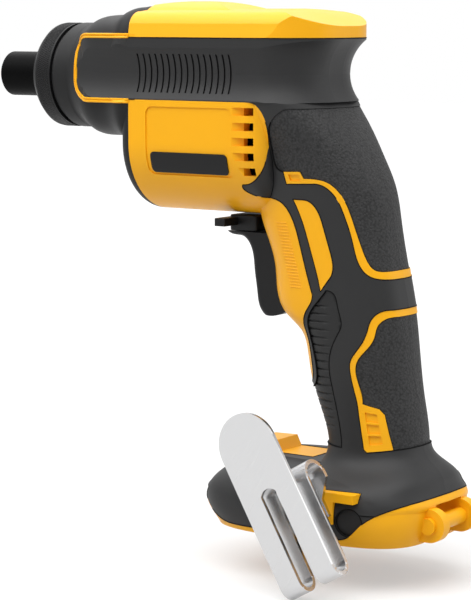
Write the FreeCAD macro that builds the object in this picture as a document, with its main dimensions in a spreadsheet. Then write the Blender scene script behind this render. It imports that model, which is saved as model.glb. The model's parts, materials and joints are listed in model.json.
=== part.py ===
import FreeCAD, Part
import math
import os
import Sketcher
from types import SimpleNamespace
from FreeCAD import Placement, Rotation, Vector

# Cordless drywall screwdriver, millimetres. The spindle turns about the X axis with the nose
# towards -X, +Z is up and the middle plane between the two housing halves is Y = 0. The origin
# is on the spindle axis in the front plane of the depth collar. Names that end in _x are places
# along the spindle, _drop is a depth below the spindle axis, _radius and _half are half sizes.

SIZES = {
    # fits
    "fit": 0.05,
    "clearance": 0.3,
    "overrun": 6.0,
    "skin": 1.6,
    "inlay_drop": 0.4,
    # nose: locator sleeve, depth collar and seal
    "locator_reach": 25.4,
    "locator_radius": 9.3,
    "locator_bore": 6.9,
    "locator_flange": 11.6,
    "locator_flange_x": 6.2,
    "locator_flange_length": 3.4,
    "locator_travel": 3.0,
    "nose_chamfer": 0.8,
    "collar_length": 11.9,
    "collar_radius": 21.4,
    "collar_lip_radius": 17.4,
    "collar_lip_length": 2.2,
    "collar_step": 1.1,
    "collar_cone_length": 2.2,
    "collar_wall": 2.4,
    "nose_tube_radius": 15.0,
    "nose_tube_x": 3.0,
    "seal_length": 2.4,
    "seal_radius": 20.2,
    "case_ring_length": 7.0,
    "case_ring_radius": 21.6,
    # spindle and clutch
    "spindle_reach": 12.0,
    "spindle_radius": 6.2,
    "shaft_radius": 5.0,
    "shoulder_x": 14.0,
    "spindle_tail_x": 66.0,
    "socket_flats": 6.35,
    "socket_depth": 14.0,
    "magnet_radius": 2.6,
    "magnet_length": 2.5,
    "push_travel": 2.5,
    "bush_length": 16.0,
    "bush_radius": 9.0,
    "clutch_radius": 13.0,
    "clutch_thickness": 4.0,
    "clutch_x": 46.3,
    "jaw_length": 2.5,
    "jaw_inner": 10.0,
    "jaw_gap": 0.4,
    "jaw_count": 3,
    "jaw_angle": 48.0,
    "clutch_wire": 1.0,
    "clutch_spring_radius": 7.4,
    # gears
    "gear_module": 0.8,
    "gear_teeth": 50,
    "pinion_teeth": 15,
    "gear_face": 6.0,
    "hub_radius": 7.0,
    # bearing plate and bearings
    "plate_thickness": 6.0,
    "plate_gap": 1.4,
    "gear_bearing_radius": 11.0,
    "motor_bearing_radius": 8.0,
    "rear_bearing_length": 5.0,
    # motor
    "motor_shaft_radius": 2.5,
    "stator_radius": 22.8,
    "stator_bore": 13.0,
    "stator_ring": 3.6,
    "stator_tooth": 5.0,
    "stator_shoe": 1.8,
    "stator_shoe_angle": 46.0,
    "stator_x": 75.5,
    "stator_length": 22.0,
    "stator_slots": 6,
    "coil_overhang": 5.0,
    "coil_thickness": 3.2,
    "rotor_radius": 12.4,
    "board_thickness": 1.6,
    "board_bore": 9.0,
    "fan_x": 107.0,
    "fan_radius": 20.6,
    "fan_length": 9.0,
    "fan_disc": 1.6,
    "fan_blades": 9,
    "fan_blade_thickness": 1.3,
    "fan_hub_radius": 5.5,
    "rear_bearing_x": 119.0,
    # body: gear case, upper body, motor tube
    "body_half": 27.5,
    "seam_x": 57.5,
    "body_rear": 144.5,
    "rear_corner": 22.5,
    "band_top": 16.0,
    "band_drop": 8.5,
    "band_front": 28.5,
    "band_corner": 7.0,
    "trim_width": 1.2,
    "brow_corner": 14.0,
    "cap_side": 21.5,
    "cap_draft": 1.0,
    "cap_shelf": 26.2,
    "cap_crown": 27.3,
    "cap_round": 8.0,
    "hump_top": 30.2,
    "hump_half": 20.0,
    "hump_root": 19.0,
    "hump_rear": 99.0,
    "tube_rear": 122.0,
    "tube_round": 8.0,
    "clip_width": 2.0,
    "clip_height": 0.8,
    "case_half_height": 26.2,
    "case_rise": 0.8,
    "flange_x": 52.0,
    "flange_round": 5.0,
    "scoop_radius": 17.0,
    "scoop_height": 2.0,
    "scoop_side": 3.3,
    "scoop_rear": 6.8,
    "flute_count": 16,
    "flute_width": 0.8,
    "flute_depth": 0.8,
    "flute_x": 60.5,
    "flute_pitch": 2.95,
    "flute_half_height": 7.6,
    "vent_count": 5,
    "vent_x": 112.0,
    "vent_drop": 10.6,
    "vent_length": 5.4,
    "vent_height": 3.1,
    "vent_pitch": 5.8,
    "badge_x": 68.0,
    "badge_length": 37.0,
    "badge_height": 8.2,
    "badge_drop": 33.0,
    "badge_corner": 1.8,
    "badge_depth": 0.8,
    "panel_x": 66.0,
    "panel_length": 41.5,
    "panel_drop": 11.0,
    "panel_height": 27.0,
    "panel_corner": 3.0,
    "panel_depth": 0.5,
    "gusset_length": 4.4,
    "gusset_depth": 2.2,
    # handle and foot
    "grip_reach": 180.0,
    "grip_drop": 143.0,
    "grip_half": 17.5,
    "foot_front": 89.0,
    "foot_length": 100.0,
    "foot_half": 35.0,
    "foot_drop": 175.0,
    "foot_height": 27.5,
    "deck_half": 9.0,
    "bay_half": 26.0,
    "bay_rail": 3.6,
    "bay_lip": 3.0,
    "bay_depth": 14.0,
    "bay_rear": 176.0,
    "lanyard_x": 189.5,
    "lanyard_drop": 167.0,
    "lanyard_radius": 3.2,
    "lanyard_half": 9.5,
    "lanyard_ear": 4.5,
    "lanyard_ear_radius": 6.5,
    "lanyard_gap": 5.6,
    "lanyard_room": 7.5,
    # shallow recesses of the handle and foot
    "recess_depth": 0.7,
    "dish_x": 165.8,
    "dish_drop": 165.4,
    "dish_radius": 5.4,
    "dish_depth": 1.1,
    # controls
    "trigger_x": 91.0,
    "trigger_length": 33.0,
    "trigger_top": 60.6,
    "trigger_height": 32.6,
    "trigger_half": 8.2,
    "trigger_travel": 6.0,
    "stem_drop": 76.0,
    "trigger_stem_radius": 3.0,
    "trigger_stem_length": 10.0,
    "trigger_round": 2.4,
    "spring_wire": 0.8,
    "spring_radius": 4.4,
    "lever_drop": 54.9,
    "lever_thickness": 3.2,
    "lever_pivot_x": 114.0,
    "lever_hub": 5.0,
    "lever_pin": 2.0,
    "lever_bar_x": 92.0,
    "lever_bar_width": 5.0,
    "lever_bar_half": 17.0,
    "lever_neck_half": 4.0,
    # electrics
    "switch_x": 131.0,
    "switch_length": 22.0,
    "switch_half": 10.0,
    "switch_top": 63.0,
    "switch_height": 37.0,
    "controller_x": 147.0,
    "controller_length": 17.0,
    "controller_half": 9.5,
    "controller_top": 111.0,
    "controller_height": 27.0,
    "duct_radius": 3.0,
    "block_x": 152.0,
    "block_half": 17.0,
    "block_height": 10.0,
    "contact_length": 12.0,
    "contact_thickness": 0.8,
    "contact_height": 6.0,
    "contact_pitch": 8.0,
    "lens_radius": 3.4,
    "lens_length": 3.0,
    # belt hook
    "hook_width": 26.0,
    "hook_thickness": 1.6,
    "hook_length": 71.2,
    "hook_mid_length": 45.0,
    "hook_seat_length": 23.0,
    "hook_seat_gap": 11.6,
    "hook_belt_gap": 8.8,
    "hook_slot": 7.5,
    "hook_slot_length": 39.0,
    "hook_slot_rise": 2.0,
    "hook_tilt": 30.0,
    "hook_foot_x": 164.9,
    "hook_foot_drop": 186.2,
    "hook_face": 35.4,
    "hook_tang_half": 7.0,
    "hook_screw_rise": 30.0,
    "hook_boss_radius": 6.0,
    "hook_boss_reach": 10.0,
    "hook_arm_reach": 9.0,
    "hook_arm_width": 3.4,
    "hook_boss_length": 8.0,
    "screw_radius": 2.0,
    "screw_head_radius": 3.4,
    "screw_head_height": 2.4,
    "screw_length": 20.0,
    "screw_seat": 9.0,
    "drive_flats": 3.0,
    "drive_depth": 1.4,
}

doc = FreeCAD.newDocument("DrywallScrewdriver")
sheet = doc.addObject("Spreadsheet::Sheet", "Sizes")
for row, (alias, number) in enumerate(SIZES.items(), start=1):
    sheet.set(f"A{row}", alias)
    sheet.set(f"B{row}", str(number))
    sheet.setAlias(f"B{row}", alias)
doc.recompute()


class Size:
    """A size of the sheet, or a sum of several, as a number and as a formula to bind."""

    def __init__(self, value, formula):
        self.value = value
        self.formula = formula

    def __float__(self):
        return float(self.value)

    def __add__(self, other):
        other = as_size(other)
        return Size(self.value + other.value, f"({self.formula} + {other.formula})")

    def __sub__(self, other):
        other = as_size(other)
        return Size(self.value - other.value, f"({self.formula} - {other.formula})")

    def __mul__(self, other):
        other = as_size(other)
        return Size(self.value * other.value, f"({self.formula} * {other.formula})")

    def __truediv__(self, other):
        other = as_size(other)
        return Size(self.value / other.value, f"({self.formula} / {other.formula})")

    def __neg__(self):
        return Size(-self.value, f"(-{self.formula})")

    def __rsub__(self, other):
        return as_size(other) - self

    __radd__ = __add__
    __rmul__ = __mul__


def as_size(item):
    if isinstance(item, Size):
        return item
    return Size(item, repr(item))


s = SimpleNamespace(**{alias: Size(float(sheet.get(alias)), f"Sizes.{alias}") for alias in SIZES})

# Sizes that follow from the sheet
motor_drop = s.gear_module * (s.gear_teeth + s.pinion_teeth) / 2
motor_z = -motor_drop
seal_x = s.collar_length + s.clearance
case_ring_x = seal_x + s.seal_length
locator_tail = s.locator_flange_x + s.locator_flange_length
socket_end = s.socket_depth - s.spindle_reach
locator_chamber_x = s.locator_flange_x + s.locator_flange_length + s.locator_travel + s.clearance
bush_x = s.shoulder_x + s.push_travel + s.clearance
bush_rear = bush_x + s.bush_length
clutch_rear = s.clutch_x + s.clutch_thickness
gear_x = clutch_rear + s.jaw_length + s.jaw_gap + s.jaw_length
gear_rear = gear_x + s.gear_face
plate_x = gear_rear + s.plate_gap
plate_rear = plate_x + s.plate_thickness
gear_pitch = s.gear_module * s.gear_teeth / 2
gear_tip = gear_pitch + s.gear_module
chamber_radius = gear_tip + s.clearance
chamber_x = s.clutch_x - s.clearance * 2
pinion_chamber = s.gear_module * (s.pinion_teeth / 2 + 1) + s.clearance * 2
stator_rear = s.stator_x + s.stator_length
board_x = stator_rear + s.coil_overhang
rear_bearing_rear = s.rear_bearing_x + s.rear_bearing_length
foot_rear = s.foot_front + s.foot_length
bay_ceiling = s.foot_drop - s.bay_depth
trigger_slot = s.trigger_half + s.clearance
trigger_rear = s.trigger_x + s.trigger_length
shaft_front = gear_x - s.clearance
pin_low = -s.lever_drop - s.lever_thickness - s.skin
pin_high = -s.lever_drop + s.skin * 2


# Small geometry helpers

def vec(x, y, z):
    return Vector(float(x), float(y), float(z))


def segment(start, end):
    return Part.LineSegment(start, end).toShape()


def arc(start, middle, end):
    return Part.Arc(start, middle, end).toShape()


def curve(points):
    """A straight edge through two points, or a smooth curve through more."""
    if len(points) == 2:
        return segment(points[0], points[1])
    spline = Part.BSplineCurve()
    spline.interpolate(points)
    return spline.toShape()


def closed_face(runs):
    """A face bounded by runs of points, each run one smooth edge from the last run's end."""
    return Part.Face(Part.Wire([curve(run) for run in runs]))


def box(low, high):
    size = high - low
    return Part.makeBox(size.x, size.y, size.z, low)


def rod_x(radius, start, end, z=0.0, y=0.0):
    return Part.makeCylinder(float(radius), float(end) - float(start), vec(start, y, z), Vector(1, 0, 0))


def rod_y(radius, start, end, x, z):
    return Part.makeCylinder(float(radius), float(end) - float(start), vec(x, start, z), Vector(0, 1, 0))


def rod_z(radius, low, high, x, y=0.0):
    return Part.makeCylinder(float(radius), float(high) - float(low), vec(x, y, low), Vector(0, 0, 1))


def mirrored(shape):
    return shape.mirror(Vector(0, 0, 0), Vector(0, 1, 0))


# Finished pieces, one node each
nodes = []


def keep(piece, label):
    piece.Label = label
    nodes.append(piece)
    return piece


def feature(label, shape):
    piece = doc.addObject("Part::Feature", label)
    piece.Shape = shape
    return keep(piece, label)


# Sketcher's numbers for a sketch's own axes
H_AXIS = -1
V_AXIS = -2


def origin_plane(body, role):
    return next(item for item in body.Origin.OriginFeatures if item.Role == role)


def profile_sketch(body, role, outline):
    """A closed sketch of straight lines whose corners are bound to the sheet."""
    sketch = body.newObject("Sketcher::SketchObject", body.Name + "_profile")
    sketch.AttachmentSupport = (origin_plane(body, role), [""])
    sketch.MapMode = "FlatFace"
    corners = [Vector(float(across), float(up), 0) for across, up in outline]
    count = len(corners)
    for index in range(count):
        sketch.addGeometry(Part.LineSegment(corners[index], corners[(index + 1) % count]), False)
    for index in range(count):
        sketch.addConstraint(Sketcher.Constraint("Coincident", index, 2, (index + 1) % count, 1))
    for index, (across, up) in enumerate(outline):
        for kind, size, axis in (("DistanceX", across, V_AXIS), ("DistanceY", up, H_AXIS)):
            if isinstance(size, Size):
                rule = sketch.addConstraint(Sketcher.Constraint(kind, -1, 1, index, 1, float(size)))
                sketch.setExpression(f"Constraints[{rule}]", size.formula)
            else:
                sketch.addConstraint(Sketcher.Constraint("PointOnObject", index, 1, axis))
    return sketch


def turned_body(label, outline, drop=None):
    """A body turned about an axis along X; outline is (place along X, radius) pairs."""
    body = doc.addObject("PartDesign::Body", label)
    sketch = profile_sketch(body, "XZ_Plane", outline)
    turn = body.newObject("PartDesign::Revolution", label + "_turn")
    turn.Profile = sketch
    turn.ReferenceAxis = (sketch, ["H_Axis"])
    turn.Angle = 360
    if drop is not None:
        body.setExpression("Placement.Base.z", (-drop).formula)
    return body


def turned(label, outline, drop=None):
    return keep(turned_body(label, outline, drop), label)


def ring(label, start, end, inner, outer, drop=None):
    return turned(label, [(start, inner), (start, outer), (end, outer), (end, inner)], drop)


def block(label, low, high):
    """A box whose corner and sides are bound to the sheet."""
    piece = doc.addObject("Part::Box", label)
    for axis, side, lower, upper in zip("xyz", ("Length", "Width", "Height"), low, high):
        piece.setExpression("Placement.Base." + axis, as_size(lower).formula)
        piece.setExpression(side, (as_size(upper) - lower).formula)
    return piece


def stand(piece, length, base, rotation):
    """Binds a prism's or cylinder's length and place to the sheet."""
    piece.setExpression("Height", as_size(length).formula)
    piece.Placement = Placement(Vector(0, 0, 0), rotation)
    for axis, place in zip("xyz", base):
        piece.setExpression("Placement.Base." + axis, as_size(place).formula)
    return piece


def cylinder(label, radius, length, base, rotation):
    piece = doc.addObject("Part::Cylinder", label)
    piece.setExpression("Radius", as_size(radius).formula)
    return stand(piece, length, base, rotation)


def hexagon(label, flats, length, base, rotation):
    piece = doc.addObject("Part::Prism", label)
    piece.Polygon = 6
    piece.setExpression("Circumradius", (flats / math.sqrt(3)).formula)
    return stand(piece, length, base, rotation)


ALONG_X = Rotation(Vector(0, 1, 0), 90)
ALONG_Y = Rotation(Vector(1, 0, 0), -90)
ALONG_Z = Rotation()


def joined(label, pieces):
    fusion = doc.addObject("Part::MultiFuse", label)
    fusion.Shapes = pieces
    return fusion


def cut_away(label, base, tool):
    cut = doc.addObject("Part::Cut", label)
    cut.Base = base
    cut.Tool = tool
    return cut


# Nose: locator sleeve, depth collar and seal

turned("depth_locator", [
    (-s.locator_reach, s.locator_bore),
    (-s.locator_reach, s.locator_radius - s.nose_chamfer),
    (-s.locator_reach + s.nose_chamfer, s.locator_radius),
    (s.locator_flange_x, s.locator_radius),
    (s.locator_flange_x, s.locator_flange),
    (locator_tail, s.locator_flange),
    (locator_tail, s.locator_bore),
])
turned("depth_collar", [
    (0, s.locator_radius + s.clearance),
    (0, s.collar_lip_radius),
    (s.collar_lip_length, s.collar_lip_radius + s.collar_step),
    (s.collar_lip_length, s.collar_lip_radius + s.collar_step * 2),
    (s.collar_lip_length + s.collar_cone_length, s.collar_radius),
    (s.collar_length, s.collar_radius),
    (s.collar_length, s.nose_tube_radius + s.fit),
    (s.collar_wall, s.nose_tube_radius + s.fit),
    (s.collar_wall, s.locator_radius + s.clearance),
])
ring("nose_seal", seal_x, case_ring_x, s.nose_tube_radius, s.seal_radius)


# Spindle line: spindle with hex socket and magnet, bush, clutch and drive gear

def make_spindle():
    blank = turned_body("spindle_blank", [
        (-s.spindle_reach, 0),
        (-s.spindle_reach, s.spindle_radius - s.nose_chamfer),
        (-s.spindle_reach + s.nose_chamfer, s.spindle_radius),
        (s.shoulder_x, s.spindle_radius),
        (s.shoulder_x, s.shaft_radius),
        (s.spindle_tail_x, s.shaft_radius),
        (s.spindle_tail_x, 0),
    ])
    socket = hexagon("bit_socket", s.socket_flats, s.socket_depth, (-s.spindle_reach, 0, 0), ALONG_X)
    seat = cylinder("magnet_seat", s.magnet_radius, s.magnet_length, (socket_end, 0, 0), ALONG_X)
    keep(cut_away("spindle", blank, joined("spindle_bores", [socket, seat])), "spindle")


make_spindle()
keep(cylinder("bit_magnet", s.magnet_radius, s.magnet_length, (socket_end, 0, 0), ALONG_X), "bit_magnet")
ring("spindle_bush", bush_x, bush_rear, s.shaft_radius + s.fit, s.bush_radius)
ring("clutch_spring", clutch_rear, gear_x, s.clutch_spring_radius - s.clutch_wire / 2,
     s.clutch_spring_radius + s.clutch_wire / 2)
ring("gear_bearing", plate_x, plate_rear, s.hub_radius + s.fit, s.gear_bearing_radius)


def sector(inner, outer, start, length, middle_angle, angle, z=0.0):
    """Part of a ring about an axis along X, centred on an angle from +Z."""
    whole = Part.makeCylinder(float(outer), float(length), Vector(0, 0, 0), Vector(0, 0, 1), float(angle))
    whole = whole.cut(Part.makeCylinder(float(inner), float(length)))
    whole.rotate(Vector(0, 0, 0), Vector(0, 0, 1), middle_angle - float(angle) / 2)
    whole.rotate(Vector(0, 0, 0), Vector(0, 1, 0), 90)
    whole.rotate(Vector(0, 0, 0), Vector(1, 0, 0), 180)
    whole.translate(vec(start, 0, z))
    return whole


def jaws(start, phase_share):
    count = int(float(s.jaw_count))
    pitch = 360 / count
    turns = [pitch * (step + phase_share) for step in range(count)]
    return [sector(s.jaw_inner, s.clutch_radius, start, s.jaw_length, turn, s.jaw_angle) for turn in turns]


PRESSURE_ANGLE = math.radians(20)
ADDENDUM_SHARE = 0.85
DEDENDUM_SHARE = 1.15
TOOTH_SHARE = 0.9
FLANK_STEPS = 3


def involute(angle):
    return math.tan(angle) - angle


def gear_form(teeth, start, z, tooth_up):
    """A spur gear about an axis along X; tooth_up puts a tooth, not a gap, towards +Z."""
    teeth = int(float(teeth))
    module = float(s.gear_module)
    pitch = module * teeth / 2
    base = pitch * math.cos(PRESSURE_ANGLE)
    tip = pitch + module * ADDENDUM_SHARE
    root = pitch - module * DEDENDUM_SHARE
    half = math.pi / teeth / 2 * TOOTH_SHARE + involute(PRESSURE_ANGLE)
    low = max(base, root)
    flank = [(root, half - involute(math.acos(base / low)))]
    for step in range(FLANK_STEPS + 1):
        radius = low + (tip - low) * step / FLANK_STEPS
        flank.append((radius, half - involute(math.acos(base / radius))))
    if low == root:
        flank.pop(0)
    points = []
    for tooth in range(teeth):
        middle = 2 * math.pi * (tooth + (0.0 if tooth_up else 0.5)) / teeth
        sides = [(radius, middle - turn) for radius, turn in flank]
        sides += [(radius, middle + turn) for radius, turn in reversed(flank)]
        points += [vec(start, radius * math.sin(turn), z + radius * math.cos(turn)) for radius, turn in sides]
    face = Part.Face(Part.makePolygon(points + points[:1]))
    return face.extrude(vec(s.gear_face, 0, 0))


plate_of_clutch = rod_x(s.clutch_radius, s.clutch_x, clutch_rear)
plate_of_clutch = plate_of_clutch.cut(rod_x(s.shaft_radius, s.clutch_x, clutch_rear))
feature("clutch_plate", plate_of_clutch.fuse(jaws(clutch_rear, 0)))

gear_blank = gear_form(s.gear_teeth, gear_x, 0, True)
gear_blank = gear_blank.fuse([rod_x(s.hub_radius, gear_x, plate_rear)] + jaws(gear_x - s.jaw_length, 0.5))
gear_bore = rod_x(s.shaft_radius + s.fit, gear_x - s.overrun, plate_rear + s.overrun)
feature("drive_gear", gear_blank.cut(gear_bore))

# The plate between gears and motor: two discs that overlap, with a bearing seat in each
plate_discs = joined("plate_discs", [
    cylinder("plate_upper", chamber_radius, s.plate_thickness, (plate_x, 0, 0), ALONG_X),
    cylinder("plate_lower", s.stator_radius, s.plate_thickness, (plate_x, 0, motor_z), ALONG_X),
])
plate_seats = joined("plate_seats", [
    cylinder("gear_seat", s.gear_bearing_radius, s.plate_thickness, (plate_x, 0, 0), ALONG_X),
    cylinder("motor_seat", s.motor_bearing_radius, s.plate_thickness, (plate_x, 0, motor_z), ALONG_X),
])
keep(cut_away("gear_plate", plate_discs, plate_seats), "gear_plate")

# Motor
keep(cylinder("rotor_shaft", s.motor_shaft_radius, rear_bearing_rear - shaft_front, (shaft_front, 0, motor_z),
              ALONG_X), "rotor_shaft")
pinion = gear_form(s.pinion_teeth, gear_x, motor_z, False)
feature("motor_pinion", pinion.cut(rod_x(s.motor_shaft_radius, gear_x, gear_rear, motor_z)))
ring("rotor_core", s.stator_x, stator_rear, s.motor_shaft_radius, s.rotor_radius, motor_drop)
ring("motor_front_bearing", plate_x, plate_rear, s.motor_shaft_radius + s.fit,
     s.motor_bearing_radius, motor_drop)
ring("motor_rear_bearing", s.rear_bearing_x, rear_bearing_rear, s.motor_shaft_radius + s.fit,
     s.motor_bearing_radius, motor_drop)
ring("sensor_board", board_x, board_x + s.board_thickness, s.board_bore, s.stator_radius, motor_drop)


def around_motor(shape, count):
    """Copies of a shape turned about the motor axis."""
    count = int(float(count))
    copies = []
    for step in range(count):
        copy = shape.copy()
        copy.rotate(vec(0, 0, motor_z), Vector(1, 0, 0), 360 * step / count)
        copies.append(copy)
    return copies


def radial_box(start, end, half_width, inner, outer):
    """A box that stands on the motor axis's upper side between two radii."""
    return box(vec(start, -half_width, motor_z + inner), vec(end, half_width, motor_z + outer))


def make_stator():
    shoe_outer = s.stator_bore + s.stator_shoe
    ring_inner = s.stator_radius - s.stator_ring
    back = rod_x(s.stator_radius, s.stator_x, stator_rear, motor_z)
    back = back.cut(rod_x(ring_inner, s.stator_x, stator_rear, motor_z))
    tooth = radial_box(s.stator_x, stator_rear, s.stator_tooth / 2, s.stator_bore + s.stator_shoe / 2,
                       ring_inner + s.stator_ring / 2)
    shoe = sector(s.stator_bore, shoe_outer, s.stator_x, s.stator_length, 0, s.stator_shoe_angle, motor_z)
    poles = around_motor(tooth, s.stator_slots) + around_motor(shoe, s.stator_slots)
    feature("stator_core", back.fuse(poles))
    coil_half = s.stator_tooth / 2 + s.coil_thickness
    coil_top = math.sqrt(float(ring_inner) ** 2 - float(coil_half) ** 2) - float(s.fit)
    front = s.stator_x - s.coil_overhang
    coil = radial_box(front, board_x, coil_half, shoe_outer, coil_top)
    coil = coil.cut(radial_box(s.stator_x, stator_rear, s.stator_tooth / 2, shoe_outer, coil_top))
    feature("stator_coils", Part.makeCompound(around_motor(coil, s.stator_slots)))


make_stator()


def make_fan():
    fan_rear = s.fan_x + s.fan_length
    body = rod_x(s.fan_radius, s.fan_x, s.fan_x + s.fan_disc, motor_z)
    hub = rod_x(s.fan_hub_radius, s.fan_x, fan_rear, motor_z)
    blade_tip = s.fan_radius - s.clearance
    blade = radial_box(s.fan_x, fan_rear, s.fan_blade_thickness / 2, s.fan_hub_radius / 2, blade_tip)
    whole = body.fuse([hub] + around_motor(blade, s.fan_blades))
    feature("cooling_fan", whole.cut(rod_x(s.motor_shaft_radius, s.fan_x, fan_rear, motor_z)))


make_fan()

# Controls
TRIGGER_FRONT_SHARES = ((0.0, 0.0), (0.09, 0.043), (0.24, 0.061), (0.35, 0.18), (0.40, 0.44), (0.44, 0.72),
                        (0.476, 0.90), (0.545, 0.994))
TRIGGER_UNDER_SHARES = ((0.545, 0.994), (0.70, 1.0), (0.83, 0.963), (1.0, 0.84))


def trigger_points(shares):
    return [vec(s.trigger_x + s.trigger_length * along, 0, -s.trigger_top - s.trigger_height * down)
            for along, down in shares]


def make_trigger():
    front = trigger_points(TRIGGER_FRONT_SHARES)
    under = trigger_points(TRIGGER_UNDER_SHARES)
    rear_top = vec(trigger_rear, 0, -s.trigger_top)
    face = closed_face([front, under, [under[-1], rear_top], [rear_top, front[0]]])
    face.translate(vec(0, -s.trigger_half, 0))
    blade = face.extrude(vec(0, s.trigger_half * 2, 0))
    rear = float(trigger_rear) - float(s.fit)
    flanks = []
    for edge in blade.Edges:
        bounds = edge.BoundBox
        along_side = bounds.YLength < float(s.fit) and bounds.XMax < rear
        if along_side and bounds.ZLength > float(s.trigger_round):
            flanks.append(edge)
    blade = blade.makeFillet(float(s.trigger_round), flanks)
    stem = rod_x(s.trigger_stem_radius, trigger_rear, trigger_rear + s.trigger_stem_length, -s.stem_drop)
    feature("trigger", blade.fuse(stem))


make_trigger()
ring("trigger_spring", trigger_rear, s.switch_x, s.spring_radius - s.spring_wire / 2,
     s.spring_radius + s.spring_wire / 2, s.stem_drop)

switch_block = block("switch_block", (s.switch_x, -s.switch_half, -s.switch_top - s.switch_height),
                     (s.switch_x + s.switch_length, s.switch_half, -s.switch_top))
stem_room = s.trigger_stem_length + s.trigger_travel
stem_bore = cylinder("stem_bore", s.trigger_stem_radius + s.clearance, stem_room,
                     (s.switch_x, 0, -s.stem_drop), ALONG_X)
keep(cut_away("switch_body", switch_block, stem_bore), "switch_body")

lever_low = -s.lever_drop - s.lever_thickness
lever_parts = joined("lever_parts", [
    cylinder("lever_hub", s.lever_hub, s.lever_thickness, (s.lever_pivot_x, 0, lever_low), ALONG_Z),
    block("lever_neck", (s.lever_bar_x, -s.lever_neck_half, lever_low),
          (s.lever_pivot_x, s.lever_neck_half, -s.lever_drop)),
    block("lever_bar", (s.lever_bar_x, -s.lever_bar_half, lever_low),
          (s.lever_bar_x + s.lever_bar_width, s.lever_bar_half, -s.lever_drop)),
])
lever_eye = cylinder("lever_eye", s.lever_pin, s.lever_thickness, (s.lever_pivot_x, 0, lever_low), ALONG_Z)
keep(cut_away("reverse_lever", lever_parts, lever_eye), "reverse_lever")
keep(cylinder("lever_pin", s.lever_pin - s.fit, pin_high - pin_low, (s.lever_pivot_x, 0, pin_low), ALONG_Z),
     "lever_pin")

# Electrics in the handle and foot
keep(block("controller", (s.controller_x, -s.controller_half, -s.controller_top - s.controller_height),
           (s.controller_x + s.controller_length, s.controller_half, -s.controller_top)), "controller")
keep(block("terminal_block", (s.block_x, -s.block_half, -bay_ceiling - s.block_height),
           (s.bay_rear, s.block_half, -bay_ceiling)), "terminal_block")
CONTACT_STEPS = (-1.5, -0.5, 0.5, 1.5)
blades = []
for number, step in enumerate(CONTACT_STEPS, start=1):
    left = s.contact_pitch * step - s.contact_thickness / 2
    low = -bay_ceiling - s.block_height / 2 - s.contact_height / 2
    blades.append(block(f"contact_{number}", (s.block_x - s.contact_length, left, low),
                        (s.block_x, left + s.contact_thickness, low + s.contact_height)))
contacts = doc.addObject("Part::Compound", "battery_contacts")
contacts.Links = blades
keep(contacts, "battery_contacts")


# Fasteners: screws along Y, heads towards the named side

SCREW_PLACE_SHARES = ((0.7305, -0.056), (0.689, 0.371), (0.828, 0.392), (0.866, 0.734), (0.950, 1.035),
                      (0.622, 1.084), (1.008, 1.091))
screw_places = [(s.grip_reach * along, -s.grip_drop * down) for along, down in SCREW_PLACE_SHARES]


def make_screws():
    screws = []
    tip = s.screw_seat - s.screw_length
    drive_y = s.screw_seat + s.screw_head_height - s.drive_depth
    for number, (x, z) in enumerate(screw_places, start=1):
        head = cylinder(f"head_{number}", s.screw_head_radius, s.screw_head_height,
                        (x, s.screw_seat, z), ALONG_Y)
        shank = cylinder(f"shank_{number}", s.screw_radius, s.screw_length, (x, tip, z), ALONG_Y)
        drive = hexagon(f"drive_{number}", s.drive_flats, s.drive_depth, (x, drive_y, z), ALONG_Y)
        screws.append(cut_away(f"screw_{number}", joined(f"screw_blank_{number}", [head, shank]), drive))
    group = doc.addObject("Part::Compound", "housing_screws")
    group.Links = screws
    keep(group, "housing_screws")


make_screws()

# Belt hook: a bent steel strap. Its own directions are along the strap, across it and out from the foot.
hook_turn = math.radians(float(s.hook_tilt))
hook_along = Vector(-math.sin(hook_turn), 0, math.cos(hook_turn))
hook_across = Vector(math.cos(hook_turn), 0, math.sin(hook_turn))
hook_start = vec(s.hook_foot_x, 0, -s.hook_foot_drop)
hook_screw_x = s.hook_foot_x - s.hook_screw_rise * math.sin(hook_turn)
hook_screw_z = -s.hook_foot_drop + s.hook_screw_rise * math.cos(hook_turn)


def hook_point(along, across, out):
    return hook_start + hook_along * float(along) + hook_across * float(across) + vec(0, -out, 0)


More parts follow.
